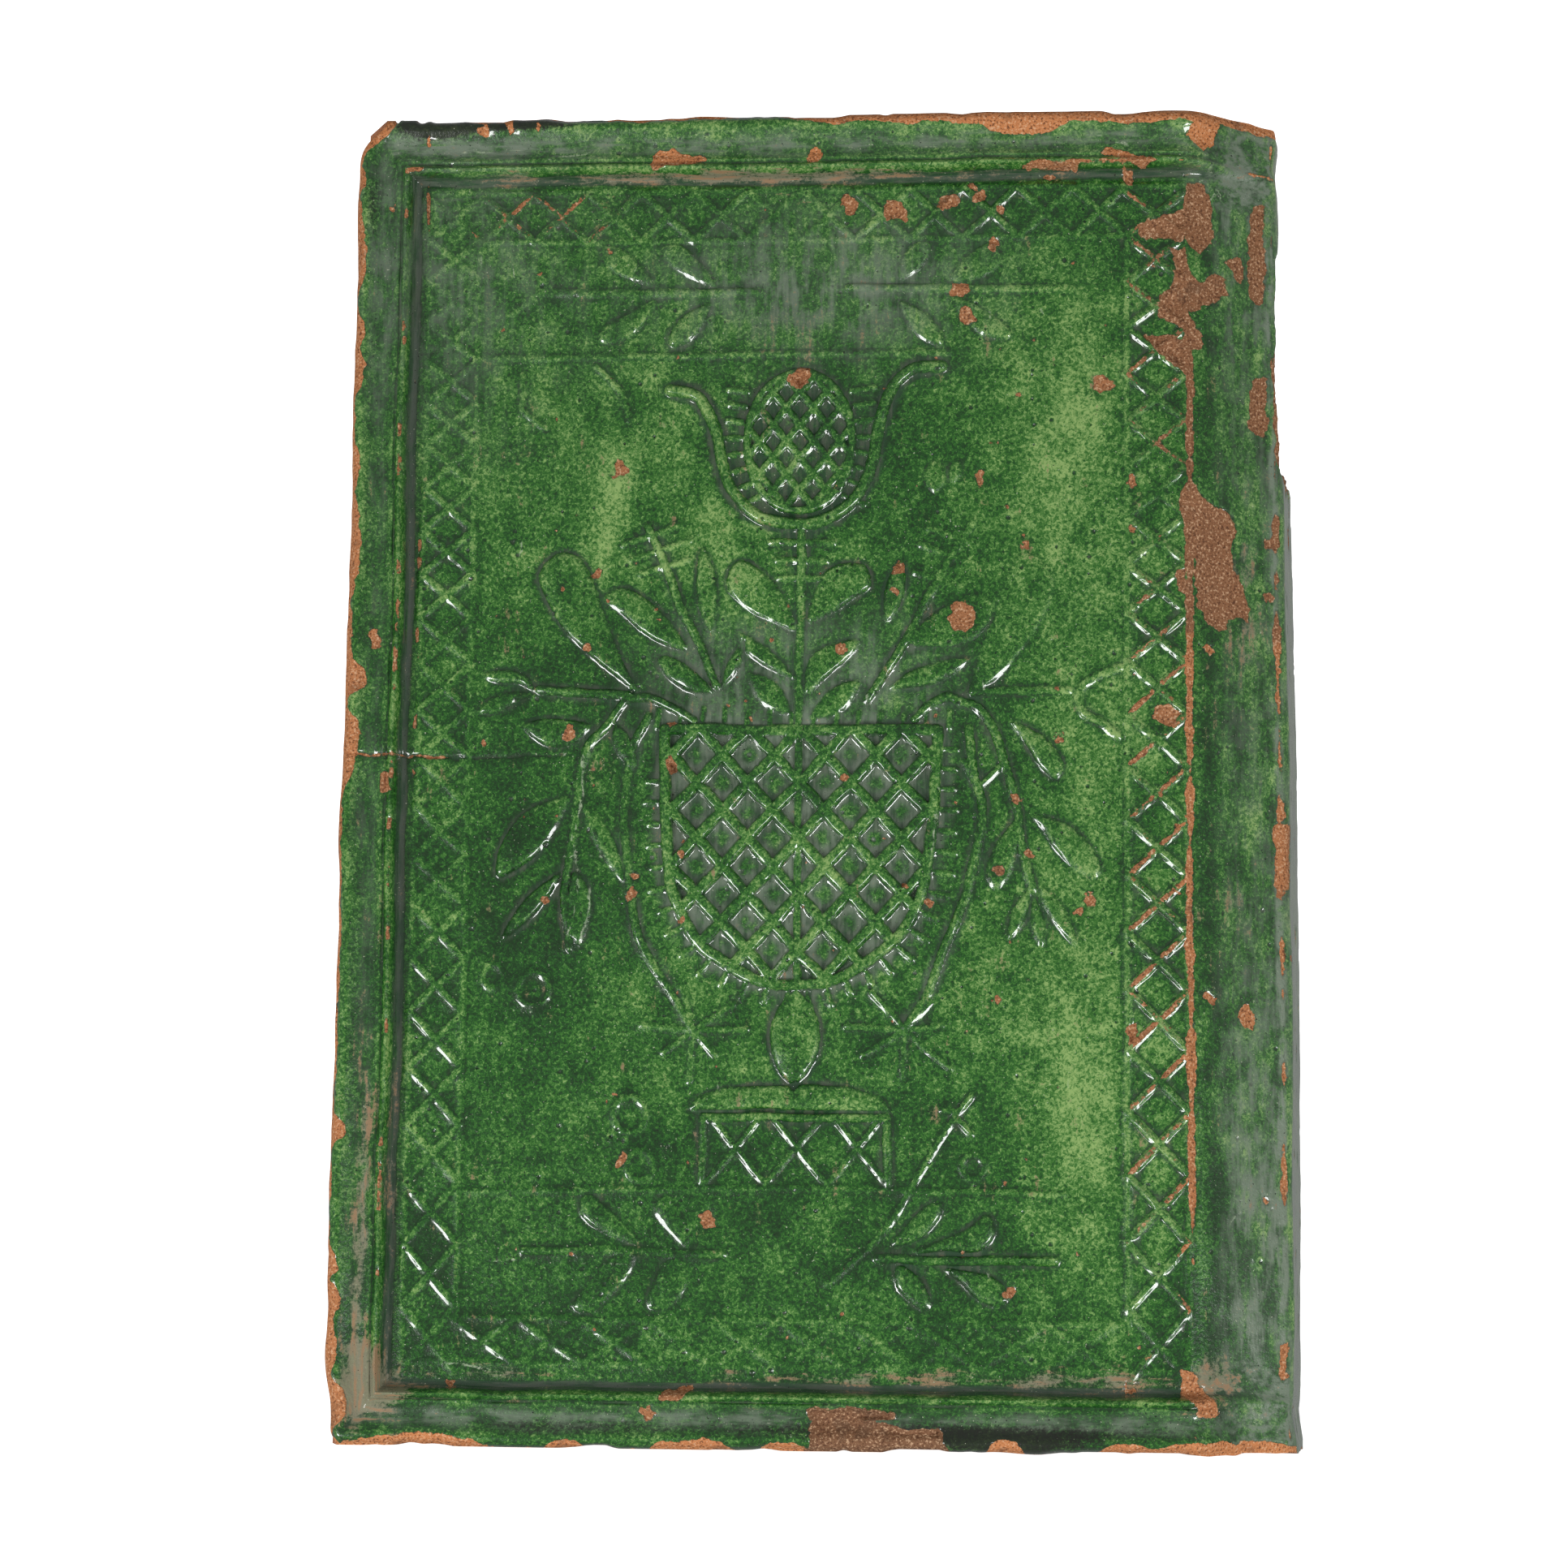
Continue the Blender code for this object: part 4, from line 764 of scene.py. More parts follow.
SPOTS = (  # x, z, radius
    (-45.5, 237.5, 2.2), (-50, 211.5, 1.2), (-52, 193, 1.2), (-56.5, 171.5, 1.9), (-31, 174, 1.0),
    (-31.5, 163.5, 1.6), (-77.5, 169.5, 0.8), (-1, 260.5, 3.0), (22.5, 206.5, 1.3), (24, 212.5, 1.6),
    (39, 200, 4.2), (10, 192.5, 1.8), (55, 218, 1.0), (73, 258.5, 3.0), (43.5, 235, 1.4),
    (63, 170.5, 1.2), (11, 160, 1.2), (53, 156, 1.2), (56, 142, 1.2), (38, 282, 2.0), (40, 275.5, 2.1),
    (80.5, 234.5, 1.5), (80.5, 222, 1.0), (11, 304.5, 2.4), (22, 302.5, 2.8), (35, 304.5, 2.8),
    (43, 306.5, 1.6), (48.5, 303, 1.4), (46.5, 294, 1.8), (2, 316, 2.3), (41, 309, 1.2),
    (60.5, 310, 1.0), (-34, 8.5, 1.8), (-21, 53.5, 2.0), (-41.5, 68.5, 1.4), (-81, 324, 1.8),
    (-74, 325, 1.6), (-67, 324.5, 1.0), (-40, 136, 1.0), (-40, 132, 1.4), (-28, 142, 1.0),
    (-28, 125.5, 1.0), (-61.5, 130.5, 0.9), (26, 134, 0.8), (32, 130.5, 1.2), (48, 138, 1.5),
    (70, 131.5, 1.8), (67.5, 128, 1.2), (48, 107, 1.2), (98.5, 107.5, 1.4), (51, 37, 1.5),
    (79.5, 15, 1.2), (-81.5, 14.5, 1.4), (99, 192.5, 1.3), (-101, 159, 0.8), (112, 60, 1.0),
    (114, 221, 1.6), (114, 207, 1.5), (-103, 304, 1.0),
)
broken = [noise(S, Z, 2.8, seed) * 0.5 + noise(S, Z, 1.1, seed + 5) * 0.3 for seed in (21, 22)]
front_x, front_z = base_x + broken[0], Z + broken[1]
rows = len(rise)
FAR = 30.0  # mm, further from any chip than matters
SMALL_SPOTS = 90


def outline_distance(u, v, outline):
    """Signed distance to an outline, below zero inside it."""
    nearest, inside = np.full(u.shape, 99.0), np.zeros(u.shape, bool)
    for (ax, az), (bx, bz) in zip(outline, outline[1:] + outline[:1]):
        du, dv, long_x, long_z = u - ax, v - az, bx - ax, bz - az
        share = np.clip((du * long_x + dv * long_z) / (long_x**2 + long_z**2), 0, 1)
        nearest = np.minimum(nearest, np.hypot(du - share * long_x, dv - share * long_z))
        if long_z:
            inside ^= ((az > v) != (bz > v)) & (u < long_x * dv / long_z + ax)
    return np.where(inside, -nearest, nearest)


def around(points, margin=5.0):
    """The part of the sheet round some places in the front view."""
    (left, foot), (right, head) = np.min(points, 0) - margin, np.max(points, 0) + margin
    columns = np.searchsorted(base_x[:, rows // 2], [left, right])
    return slice(*columns), slice(*np.searchsorted(rise, [foot, head]))


bare = np.full(S.shape, FAR)
for outline in CHIPS:
    part = around(outline)
    bare[part] = np.minimum(bare[part], outline_distance(front_x[part], front_z[part], outline))
rng = np.random.default_rng(23)
small = [(rng.uniform(-78, 92), rng.uniform(22, 306), rng.uniform(0.25, 0.55)) for _ in range(SMALL_SPOTS)]
for x, z, r in [*SPOTS, *small]:
    part = around([(x, z)])
    ragged, lean, stretch = min(1.9, 1.5 * r), rng.uniform(0, math.pi), rng.uniform(0.65, 1.0)
    u = base_x[part] - x + ragged * broken[0][part]
    v = Z[part] - z + ragged * broken[1][part]
    u, v = u * math.cos(lean) + v * math.sin(lean), (v * math.cos(lean) - u * math.sin(lean)) / stretch
    bare[part] = np.minimum(bare[part], (np.hypot(u, v) - r) * stretch)
print(len(CHIPS), "chips,", len(SPOTS) + len(small), "spots")

# %% Rubbed arrises and rims
def strip(distance, width, seed, size=9.0, raggedness=0.9):
    """Signed distance to a worn strip along an edge, from the distance to the edge and its usual width."""
    return distance - width - raggedness * noise(S, Z, size, seed) - 0.35 * noise(S, Z, 2.4, seed + 50)


def bumps(field, places):
    """A sum of soft bumps along one direction: (place, half width, height)."""
    return sum(tall * np.exp(-(((field - place) / wide) ** 4)) for place, wide, tall in places)


HEAD_WEAR = ((68, 5, 1.2), (80, 3, 1.0), (88, 4, 1.0), (165, 9, 2.6), (178, 20, 0.8))
LEFT_WEAR = (
    (10, 5, 3.6), (23, 6, 2.3), (34, 4, 2.5), (43, 3, 2.2), (75, 3, 3.2), (110, 4, 0.7), (163, 4, 2.6),
    (171, 5, 3.6), (185, 4, 4.6), (196, 7, 1.0), (218, 11, 2.0), (238, 6, 1.2), (262, 5, 2.2), (272, 4, 2.2),
    (291, 7, 2.0), (302, 5, 1.0), (311, 3, 1.6), (324, 6, 3.2),
)
FOOT_WEAR = (
    (5, 6, 1.4), (24, 15, 3.0), (58, 4, 2.2), (82, 3, 2.2), (91, 6, 2.8), (111, 6, 2.2), (162, 4, 3.4),
    (190, 5, 2.6), (212, 13, 3.2), (230, 8, 2.6),
)
OUTER_WEAR = ((190, 45, 1.0), (75, 30, 0.5))
FOOT_BREAK = (
    (3.5, -4), (4.5, 7), (3.5, 9.5), (7, 10), (13, 10.5), (24, 9.5), (24.5, 8), (16, 7.5), (22, 7), (28, 5.5),
    (35.5, 5), (38, -4),
)
upper_worn = smooth(Z, 44, 60) * (1 - smooth(Z, 262, 275))
arris_at = S - face_end + 1.1 + 0.4 * noise(S, Z, 40.0, 30)
arris_strip = strip(np.abs(arris_at), 1.2 * upper_worn - 0.35, 31, 6.0, 0.45)
head_strip = strip(TALL - Z, 0.1 + 2.7 * smooth(S, 104, 118) + bumps(S, HEAD_WEAR), 32, 6.0, 0.7)
left_strip = strip(S, 0.7 + bumps(Z, LEFT_WEAR), 33, 4.0, 0.5)
foot_strip = strip(Z, -0.3 + bumps(S, FOOT_WEAR), 34, 4.0, 0.5)
foot_break = outline_distance(front_x, front_z, FOOT_BREAK)
outer_strip = strip(np.abs(S - outer_arris(Z) + 0.9), -0.4 + bumps(Z, OUTER_WEAR), 36, 7.0, 0.9)
rear_strip = strip(rear_edge - S, 1.6, 38, 12.0, 1.4)
side_chips = 3.0 * (0.8 - noise(S, Z, 8.0, 37)) + 3.0 * (1 - past_band)
front_wear = arris_strip, head_strip, left_strip, foot_strip, foot_break
for worn in (*front_wear, outer_strip, rear_strip, side_chips):
    bare = np.minimum(bare, worn)

# %% The crack that runs in from the left edge
CRACK_HEIGHT, CRACK_DEPTH, CRACK_WIDTH = 166.0, 0.4, 0.4
CRACK_END = 54, 60  # along the sheet, where it closes
along_only = Z[:, :1] + 0 * S
crack_at = CRACK_HEIGHT + 0.5 * noise(S, along_only, 14.0, 45) + 0.25 * noise(S, along_only, 3.0, 46)
crack = np.abs(Z - crack_at) + 3.0 * smooth(S, *CRACK_END)
height -= CRACK_DEPTH * np.exp(-((crack / CRACK_WIDTH) ** 2))
bare = np.minimum(bare, crack - 0.3 + 0.5 * smooth(S, 22, 30))

# %% A blur, to tell ridges from hollows
def blurred(field, radius):
    """A soft blur over about radius millimetres, three passes of a running mean each way."""
    for axis, step in ((0, FINE), (1, rise[1])):
        n = max(int(radius / step), 1)
        for _ in range(3):
            low_end, high_end = np.take(field, [0], axis), np.take(field, [-1], axis)
            padded = [np.repeat(low_end, n + 1, axis), field, np.repeat(high_end, n, axis)]
            total = np.cumsum(np.concatenate(padded, axis), axis)
            count = field.shape[axis]
            high = np.take(total, np.arange(2 * n + 1, 2 * n + 1 + count), axis)
            low = np.take(total, np.arange(0, count), axis)
            field = (high - low) / (2 * n + 1)
    return field


# %% Crests of the carving rubbed through
# The sign of this product tells a bar that leans right from one that leans left.
slope_s, slope_z = np.gradient(relief, FINE, rise[1])
leans_right = smooth(-blurred(slope_s * slope_z, 0.9), 0.0, 0.12)
right_band = smooth(S, LEFT + 78, LEFT + 80) * (1 - smooth(S, LEFT + 94, LEFT + 96))
leaning_bars = 0.52 * leans_right * (1 - smooth(Z, 175, 230)) * smooth(Z, 30, 70)
crest_zone = 0.85 * np.exp(-(((S - LEFT + 66) / 20) ** 2 + ((Z - 302) / 9) ** 2))
crest_zone += right_band * (0.25 + leaning_bars + 0.2 * smooth(Z, 215, 240))
crest = (relief - 0.72 - 0.5 * (1 - crest_zone) - 0.2 * noise(S, Z, 5.0, 41)) * 1.6
bare = np.minimum(bare, -crest + 3.0 * (crest_zone < 0.12))
ridge_worn = smooth(noise(S, Z, 4.5, 43), -0.05, 0.4) * (1 - smooth(S, 18, 22)) * smooth(Z, 15, 40)
ridge_worn += 0.9 * smooth(noise(S, Z, 12.0, 44), 0.0, 0.5) * smooth(S, 150, 165) * smooth(Z, 300, 305)
bare = np.minimum(bare, np.abs(past_ridge + 0.1) + 0.8 - 1.25 * ridge_worn)
ruled_worn = smooth(noise(S, Z, 5.0, 47), 0.1, 0.5) * smooth(Z, 150, 160)
bare = np.minimum(bare, np.abs(S - LEFT - OUTER[0] + 0.6) + 0.75 - 1.2 * ruled_worn)

# %% [markdown]
# The break. On the upper part of the side a flake has come off and left the coarse inside of the clay:
# a deep step with a rough floor, from just behind the outer arris to the back. Near the head a strip of
# glazed side still stands in front of it.

# %% The broken side
behind = S - outer_arris(Z)
jag = 1.2 * noise(S, Z, 7.0, 61)
BREAK_FOOT, STRIP_FOOT, STRIP_HEAD = 236, 292, 304  # heights of the break and of the strip before it
front_side = behind + 0.2 - 12.0 * smooth(Z, STRIP_FOOT, STRIP_HEAD) + jag
lower_side = (Z - BREAK_FOOT - 0.16 * behind) * 0.8 + 2.0 * jag
flake = np.minimum(front_side, lower_side)
STEP, FLOOR = 0.5, 3.9  # mm down to the step at its edge, and from there to its floor
flake_depth = STEP * smooth(flake, 0.0, 1.0) + FLOOR * smooth(flake, 2.6, 5.0)
flake_depth += (0.5 * noise(S, Z, 4.0, 62) + 0.25 * noise(S, Z, 1.8, 63)) * smooth(flake, 0.5, 2.0)
coarse = 0.9 + 0.4 * noise(S, Z, 3.0, 64) + 0.25 * noise(S, Z, 1.4, 65)
flake_depth += coarse * smooth(-foot_break, 0.0, 1.2)
bare = np.minimum(bare, -flake)
print("share of the sheet that is bare clay:", round(float((bare < 0).mean()), 3))

# %% Pits where gas came out of the clay
PITS = 420
PIT_DEPTH, PIT_RIM = 0.45, 0.12
PIT_REACH = 3  # mm, how far round a pit the surface changes
rng = np.random.default_rng(17)
dots = np.zeros(S.shape)
for _ in range(PITS):
    at, z, r = rng.uniform(18, 232), rng.uniform(4, 322), rng.uniform(0.25, 0.62)
    columns = slice(*np.searchsorted(run, [at - PIT_REACH, at + PIT_REACH]))
    part = (columns, slice(*np.searchsorted(rise, [z - PIT_REACH, z + PIT_REACH])))
    away = np.hypot(S[part] - at, Z[part] - z)
    bottom, ring = np.exp(-((away / (0.75 * r)) ** 2)), np.exp(-(((away - 1.5 * r) / 0.4) ** 2))
    height[part] -= PIT_DEPTH * bottom - PIT_RIM * ring
    dots[part] += 0.3 * ring - 1.5 * bottom

# %% Set the surface back where the glaze is gone
GLAZE, CLAY_LOST = 0.34, 0.25  # thickness of the glaze, and the clay that came off below it
height -= GLAZE * smooth(-bare, -0.25, 0.3) + CLAY_LOST * smooth(-bare, 0.6, 2.2) + flake_depth

# %% [markdown]
# Glaze runs off ridges and gathers in hollows before it sets, so a ridge shows thin, pale glaze and a
# hollow shows deep, dark glaze. The difference between the surface and a blurred copy of itself tells
# ridges from hollows. It is kept as an attribute for the glaze to read, and so is a broad map of tones,
# because the kiln's flames and the brush left some parts lighter and some darker. The same maps also
# carry painted light: painted shade in creases and on faces that turn away from the lamps, and painted
# reflections and highlights on crests, in the frame's hollows and on the side.

# %% Hollows, tones and bloom, with painted shade and painted reflections
hollow = blurred(height, 1.3) - height
wide_hollow = blurred(height, 3.6) - height
edge = relief - blurred(relief, 0.6)
# The strip at x 98, just past the worn arris, is darkened as painted shade.
TONES = (  # x, z, half width, half height, lighter or darker
    (68, 225, 20, 70, 0.7), (72, 150, 16, 50, 0.45), (-45, 236, 4, 10, 1.4), (-49, 215, 3, 9, 1.0),
    (60, 95, 26, 30, 0.4), (-68, 140, 16, 34, -0.75), (-60, 100, 22, 26, -0.4), (0, 268, 34, 12, -0.15),
    (24, 240, 12, 24, -0.4), (-40, 185, 18, 10, -0.3), (-66, 205, 12, 40, -0.2), (-62, 160, 8, 8, 0.4),
    (-30, 230, 12, 30, 0.25), (0, 140, 28, 26, 0.3), (74, 60, 16, 36, 0.8), (-30, 62, 40, 20, -0.35),
    (0, 184, 30, 9, -0.3), (34, 190, 20, 34, -0.25), (-10, 48, 60, 24, -0.15), (98, 165, 3, 90, -0.55),
    (10, 320, 100, 9, 0.55), (-70, 235, 30, 40, 0.2), (-88, 60, 6, 40, -0.35), (-85, 290, 36, 26, -0.3),
    (0, 215, 30, 22, 0.45), (20, 12.5, 90, 2, 0.5),
)
band = smooth(S, face_end + 1, face_end + 5) * (1 - past_band)
tone = 0.25 * noise(S, Z, 30.0, 71) + 0.32 * noise(S, Z, 9.0, 72) + 0.45 * noise(S, Z, 3.6, 73) - 0.2
tone += 0.35 * noise(S, 0.3 * Z, 2.6, 77)
tone += (band + past_band) * (0.8 * noise(S, 0.22 * Z, 2.0, 75) + 0.5 * noise(S, Z, 2.2, 76))
tone -= 0.4 * smooth(-Z, -75, 0)
for *place, amount in TONES:
    tone += amount * patch(*place)
left_band = 1 - smooth(S, 30, 33)
vase_zone = patch(0, 141, 36, 34, power=6)
# Crests of the carving are made paler: partly thin glaze, partly a painted highlight along their edges.
lighten = 0.12 + 0.28 * left_band * (1 - 0.6 * smooth(Z, 90, 180)) - 0.1 * vase_zone
lighten = np.where(relief > 0.25, lighten, 0.0)
tone += 1.6 * lighten * smooth(edge, 0.02, 0.16)
# Painted shade: the corner band is darker next to the worn arris, where it turns away from the lamps.
tone -= 0.4 * band * (1 - smooth(S, face_end + 5, face_end + 14))
in_hollow = np.exp(-(((shares - 0.56) / 0.2) ** 2)) * (1 - smooth(S, face_end, face_end + 8))
nearest_side = np.argmin(each_share, 0)
# Painted reflection: the frame's hollow is greyed, far more on the head and foot than at the left.
pale = in_hollow * np.choose(nearest_side, [0.15, 0.6, 0.5])
lying = (nearest_side > 0) * (1 - smooth(past_ridge, 8, 11)) * (1 - past_band)
# The corner band greys towards the outer arris, most near the head and foot: partly bloom, partly a painted
# reflection where the band turns away.
outer_band = smooth(S, face_end + 2, face_end + 14)
pale += (0.25 + 0.35 * smooth(Z, 250, 300)) * outer_band * (1 - past_band)
pale += 0.45 * smooth(-Z, -150, -40) * outer_band * (1 - past_band)
BLOOM = ((101, 309, 8, 9, 0.45), (4, 284, 34, 16, 0.6), (-90, 290, 30, 36, 0.35))
for *place, amount in BLOOM:
    pale += amount * patch(*place)
# Painted light: the side, which faces away from the lamps, is made lighter and greyer; a pale line runs just
# inside the outer arris.
tone += 0.5 * past_band
pale += 0.35 * past_band + 0.7 * np.exp(-(((S - outer_arris(Z) + 1.5) / 0.9) ** 2))
# Painted reflection: the vase's sunken cells are greyed between the bars.
pale += 0.75 * vase_zone * (1 - smooth(relief, 0.1, 0.8)) * smooth(hollow, 0.06, 0.3)
pale += 0.45 * patch(0, 184, 34, 15, power=4) * (1 - smooth(relief, 0.1, 0.5))
# The groove inside the ridge is greyed: partly pooled glaze, partly a painted reflection; less of it at the
# head.
groove = 0.6 * (1 - 0.6 * smooth(Z, 290, 300)) * smooth(past_ridge, 0.9, 1.4)
groove *= 1 - smooth(past_ridge, 2.6, 3.3)
groove *= 1 - smooth(S, face_end - 6, face_end)

# %% Grime, old breaks and scratches
# Below zero: soot at the broken head and the left edge, and a darker band along the foot.
SOIL = (  # x, z, half width, half height, grime above zero and soot below
    (-101, 14, 12, 9, 1.0), (-104, 50, 2.8, 46, 0.78), (-97, 60, 1.6, 36, 0.5), (99, 17, 8, 6, 0.9),
    (60, 17, 34, 2, 0.8), (5, 17, 22, 1.5, 0.7), (-70, 17, 14, 2, 0.7), (-4, 271, 16, 10, 0.3),
    (-20, 311.5, 60, 1.5, 0.9), (107, 205, 6, 22, 0.6), (104, 130, 8, 14, 0.3),
    (-93, 324.5, 10, 3, -1.5), (-72, 325.5, 14, 2.2, -1.4), (35, 4.8, 62, 2.4, -0.85),
    (-60, 5, 30, 2.4, -0.5), (-108, 305, 3, 12, -0.6), (50, 1.5, 24, 2.5, -0.9),
)
soil = np.zeros(S.shape)
for *place, amount in SOIL:
    soil += amount * patch(*place)
old = 0.6 - 0.6 * smooth(Z, 312, 318)
old += 0.4 * smooth(S, face_end + 24, face_end + 30)
old += 0.5 * (foot_break < 0.5)
old -= 0.35 * (1 - smooth(S, 6, 8)) + 0.6 * (foot_strip < 0.5) * (foot_break > 0.5)
old = np.where((Z > 196) & (Z < 312) & (S > 194), 0.85, np.where(S > face_end - 4, old - 0.25, old))
SCRATCHES = (
    ((-52.5, 166), (-53.5, 152), (-55, 146), (-53.5, 136), (-55.5, 121)),
    ((-51, 137), (-50.5, 130), (-52.5, 120)),
    ((-60, 141), (-45, 141.5)),
    ((98, 47), (104, 54)),
    ((104.5, 56), (108, 59)),
    ((113, 52), (118, 56)),
    ((95, 140), (101, 137)),
    ((101, 162), (107, 164)),
    ((-90, 318), (-70, 319)),
    ((-66, 316), (-52, 318)),
    ((20, 317), (34, 318.5)),
    ((70, 321), (80, 318)),
    ((78, 319), (90, 314)),
    ((96, 300), (104, 311)),
    ((97, 296), (106, 305)),
    ((99, 314), (104, 302)),
    ((101, 319), (97, 309)),
    ((-74, 44), (-40, 43.5)),
    ((-84, 20), (-66, 17)),
)
HAIRLINES = 44
rng = np.random.default_rng(12)
hairlines = []
for _ in range(HAIRLINES):
    x, z, lean, tall = rng.uniform(-85, 105), rng.uniform(20, 300), rng.normal(0, 0.3), rng.uniform(3, 10)
    hairlines.append(((x, z), (x + 0.4 * lean * tall, z + 0.5 * tall), (x + lean * tall, z + tall)))
scratch = np.full(S.shape, 9.0)
for line in [*SCRATCHES, *hairlines]:
    part = around(line)
    there_and_back = line + line[-2:0:-1]
    away = np.abs(outline_distance(front_x[part], front_z[part], there_and_back))
    scratch[part] = np.minimum(scratch[part], away)
print("tones from", tone.min(), "to", tone.max())

# %% [markdown]
# Now the flat sheet takes its place in space: each point goes to its column's place in the plan, and its
# height pushes it out at a right angle to the bent sheet. Eight hundred thousand small triangles are
# far more than flat clay needs, so Decimate then drops those that lie in one plane with their
# neighbours and keeps those that make up a carved edge.

# %% Bend the sheet, and thin the mesh where nothing is carved
lump = 0.8 * smooth(noise(S, 0 * Z, 13.0, 12), -0.3, 0.6)
hand_cut = Z + lump * (1 - smooth(Z, 0, 7)) - lump[::-1] * smooth(Z, TALL - 7, TALL)
front = np.stack([base_x + np.sin(turn) * height, base_y - np.cos(turn) * height, hand_cut], -1)
corner = (np.arange(len(run) - 1)[:, None] * rows + np.arange(rows - 1)).ravel()
quads = np.stack([corner, corner + rows, corner + rows + 1, corner + 1], -1)
sheet_mesh = bpy.data.meshes.new("tile_sheet")
sheet_mesh.vertices.add(front.size // 3)
sheet_mesh.vertices.foreach_set("co", front.ravel())
sheet_mesh.loops.add(quads.size)
sheet_mesh.loops.foreach_set("vertex_index", quads.ravel().astype(np.int32))
sheet_mesh.polygons.add(len(quads))
sheet_mesh.polygons.foreach_set("loop_start", np.arange(0, quads.size, 4, dtype=np.int32))
sheet_mesh.update(calc_edges=True)
# Painted shade: creases are darkened; broad hollows are a little darker, partly pooled glaze and partly
# painted shade.
crease = blurred(height, 0.7) - height
shade = 0.5 * tone - 0.12 * wide_hollow - 0.4 * smooth(crease, 0.03, 0.14) + dots
ATTRIBUTES = {
    "bare": bare, "hollow": hollow, "shade": shade, "pale": pale, "groove": groove, "soil": soil, "old": old,
    "run": S, "scratch": scratch, "lying": lying,
}
for label, field in ATTRIBUTES.items():
    layer = sheet_mesh.attributes.new(label, "FLOAT", "POINT")
    layer.data.foreach_set("value", field.astype(np.float32).ravel())
tile = bpy.data.objects.new("glazed_tile", sheet_mesh)
scene.collection.objects.link(tile)
SHEET_TRIANGLES = 170000
thin = tile.modifiers.new("thin", "DECIMATE")
thin.ratio = SHEET_TRIANGLES / (2 * len(quads))
sheet_mesh = bpy.data.meshes.new_from_object(tile.evaluated_get(bpy.context.evaluated_depsgraph_get()))
tile.modifiers.clear()
print("sheet thinned to", sum(len(p.vertices) - 2 for p in sheet_mesh.polygons), "triangles")

# %% [markdown]
# The back of the slab was struck off with a strip of wood, so it is a plain, slightly wavy surface. It is
# laid behind the thinned sheet with the same outline, and a wall of clay closes the gap all round.

# %% Close the slab behind the sheet
GLAZED, CLAY = 0, 1  # places of the two materials
looks = [bpy.data.materials.new(name) for name in ("green_lead_glaze", "fired_earthenware")]
bm = bmesh.new()
bm.from_mesh(sheet_mesh)
run_layer = bm.verts.layers.float["run"]
start = next(e for e in bm.edges if e.is_boundary)
ring, edge, vert = [start.verts[0]], start, start.verts[1]
while vert is not ring[0]:
    ring.append(vert)
    edge = next(e for e in vert.link_edges if e.is_boundary and e is not edge)
    vert = edge.other_vert(vert)


def back_place(s, z):
    """A point on the back: the plan's corners moved in by the wall, and straight between them."""
    bend = float(outer_arris(z))
    x1, y1 = ARRIS - WALL * math.tan(BAND_TURN / 2), WALL
    band = (BAND_FOOT + (BAND_HEAD - BAND_FOOT) * z / TALL) / math.cos(BAND_TURN)
    inner = WALL * math.tan(BAND_TURN / 2) + WALL * math.tan((RETURN_TURN - BAND_TURN) / 2)
    x2, y2 = x1 + (band - inner) * math.cos(BAND_TURN), y1 + (band - inner) * math.sin(BAND_TURN)
    length = rear_edge - bend - WALL * math.tan((RETURN_TURN - BAND_TURN) / 2)
    x3, y3 = x2 + length * math.cos(RETURN_TURN), y2 + length * math.sin(RETURN_TURN)
    turns = [0, face_end, bend, rear_edge]
    x, y = (float(np.interp(s, turns, at)) for at in ([-LEFT, x1, x2, x3], [WALL, y1, y2, y3]))
    return x, y, z


BACK_STEP, BACK_ROUGH = 7.0, 0.25
ring_flat = [Vector((v[run_layer], v.co.z)) for v in ring]
over, up = np.arange(6, rear_edge - 5, BACK_STEP), np.arange(6, TALL - 5, BACK_STEP)
grid = [Vector((s, z)) for s in over for z in up]
rim = [list(range(len(ring_flat)))]
points, _, faces, origin, *_ = geometry.delaunay_2d_cdt(ring_flat + grid, [], rim, 1, 0.0)
rng = np.random.default_rng(9)
twins, at_ring = [], {}
for p, sources in zip(points, origin):
    x, y, z = back_place(p.x, p.y)
    on_ring = [i for i in sources if i < len(ring_flat)]
    twins.append(bm.verts.new((x, y + (0 if on_ring else BACK_ROUGH * float(rng.uniform(-1, 1))), z)))
    for i in on_ring:
        at_ring[i] = twins[-1]
clay_faces = [bm.faces.new([twins[i] for i in face]) for face in faces]
for i, v in enumerate(ring):
    j = (i + 1) % len(ring)
    clay_faces.append(bm.faces.new([v, ring[j], at_ring[j], at_ring[i]]))
for face in clay_faces:
    face.material_index = CLAY
bmesh.ops.recalc_face_normals(bm, faces=bm.faces)
slab_mesh = bpy.data.meshes.new("slab")
bm.to_mesh(slab_mesh)
bm.free()
tile.data = slab_mesh
print("slab closed:", len(slab_mesh.polygons), "faces,", len(ring), "points round the rim")

# %% [markdown]
# The box behind: a strip of clay, set on edge round three sides of the back and luted on. It is swept
# along a path with rounded corners. Its section is a wall with a thicker, rounded lip, and each ring of
# the sweep is shaken a little, as a hand-set strip would be. Its two ends run into the side wall.

# %% Sweep the box's wall round the back
SETBACK, BOX_WALL, BOX_CORNER, LIP = 12.0, 8.0, 8.0, 2.5
STRIP_END = 103.0  # where the strip meets the side wall
SIDE_X, SIDE_Y = 108.5, 14.3  # front corner of the side wall's inner face
SPLAY, SUNK = math.radians(5), 0.3  # how the side wall leans out, and how far the strip's ends go into it
corner_x = SETBACK - LEFT + BOX_CORNER
path = [(STRIP_END, TALL - SETBACK)]
for corner_z, start in ((TALL - SETBACK - BOX_CORNER, 90), (SETBACK + BOX_CORNER, 180)):
    for a in np.radians(np.linspace(start, start + 90, 9)):
        path.append((corner_x + BOX_CORNER * math.cos(a), corner_z + BOX_CORNER * math.sin(a)))
path.append((STRIP_END, SETBACK))
dense = [np.array(path[0])]
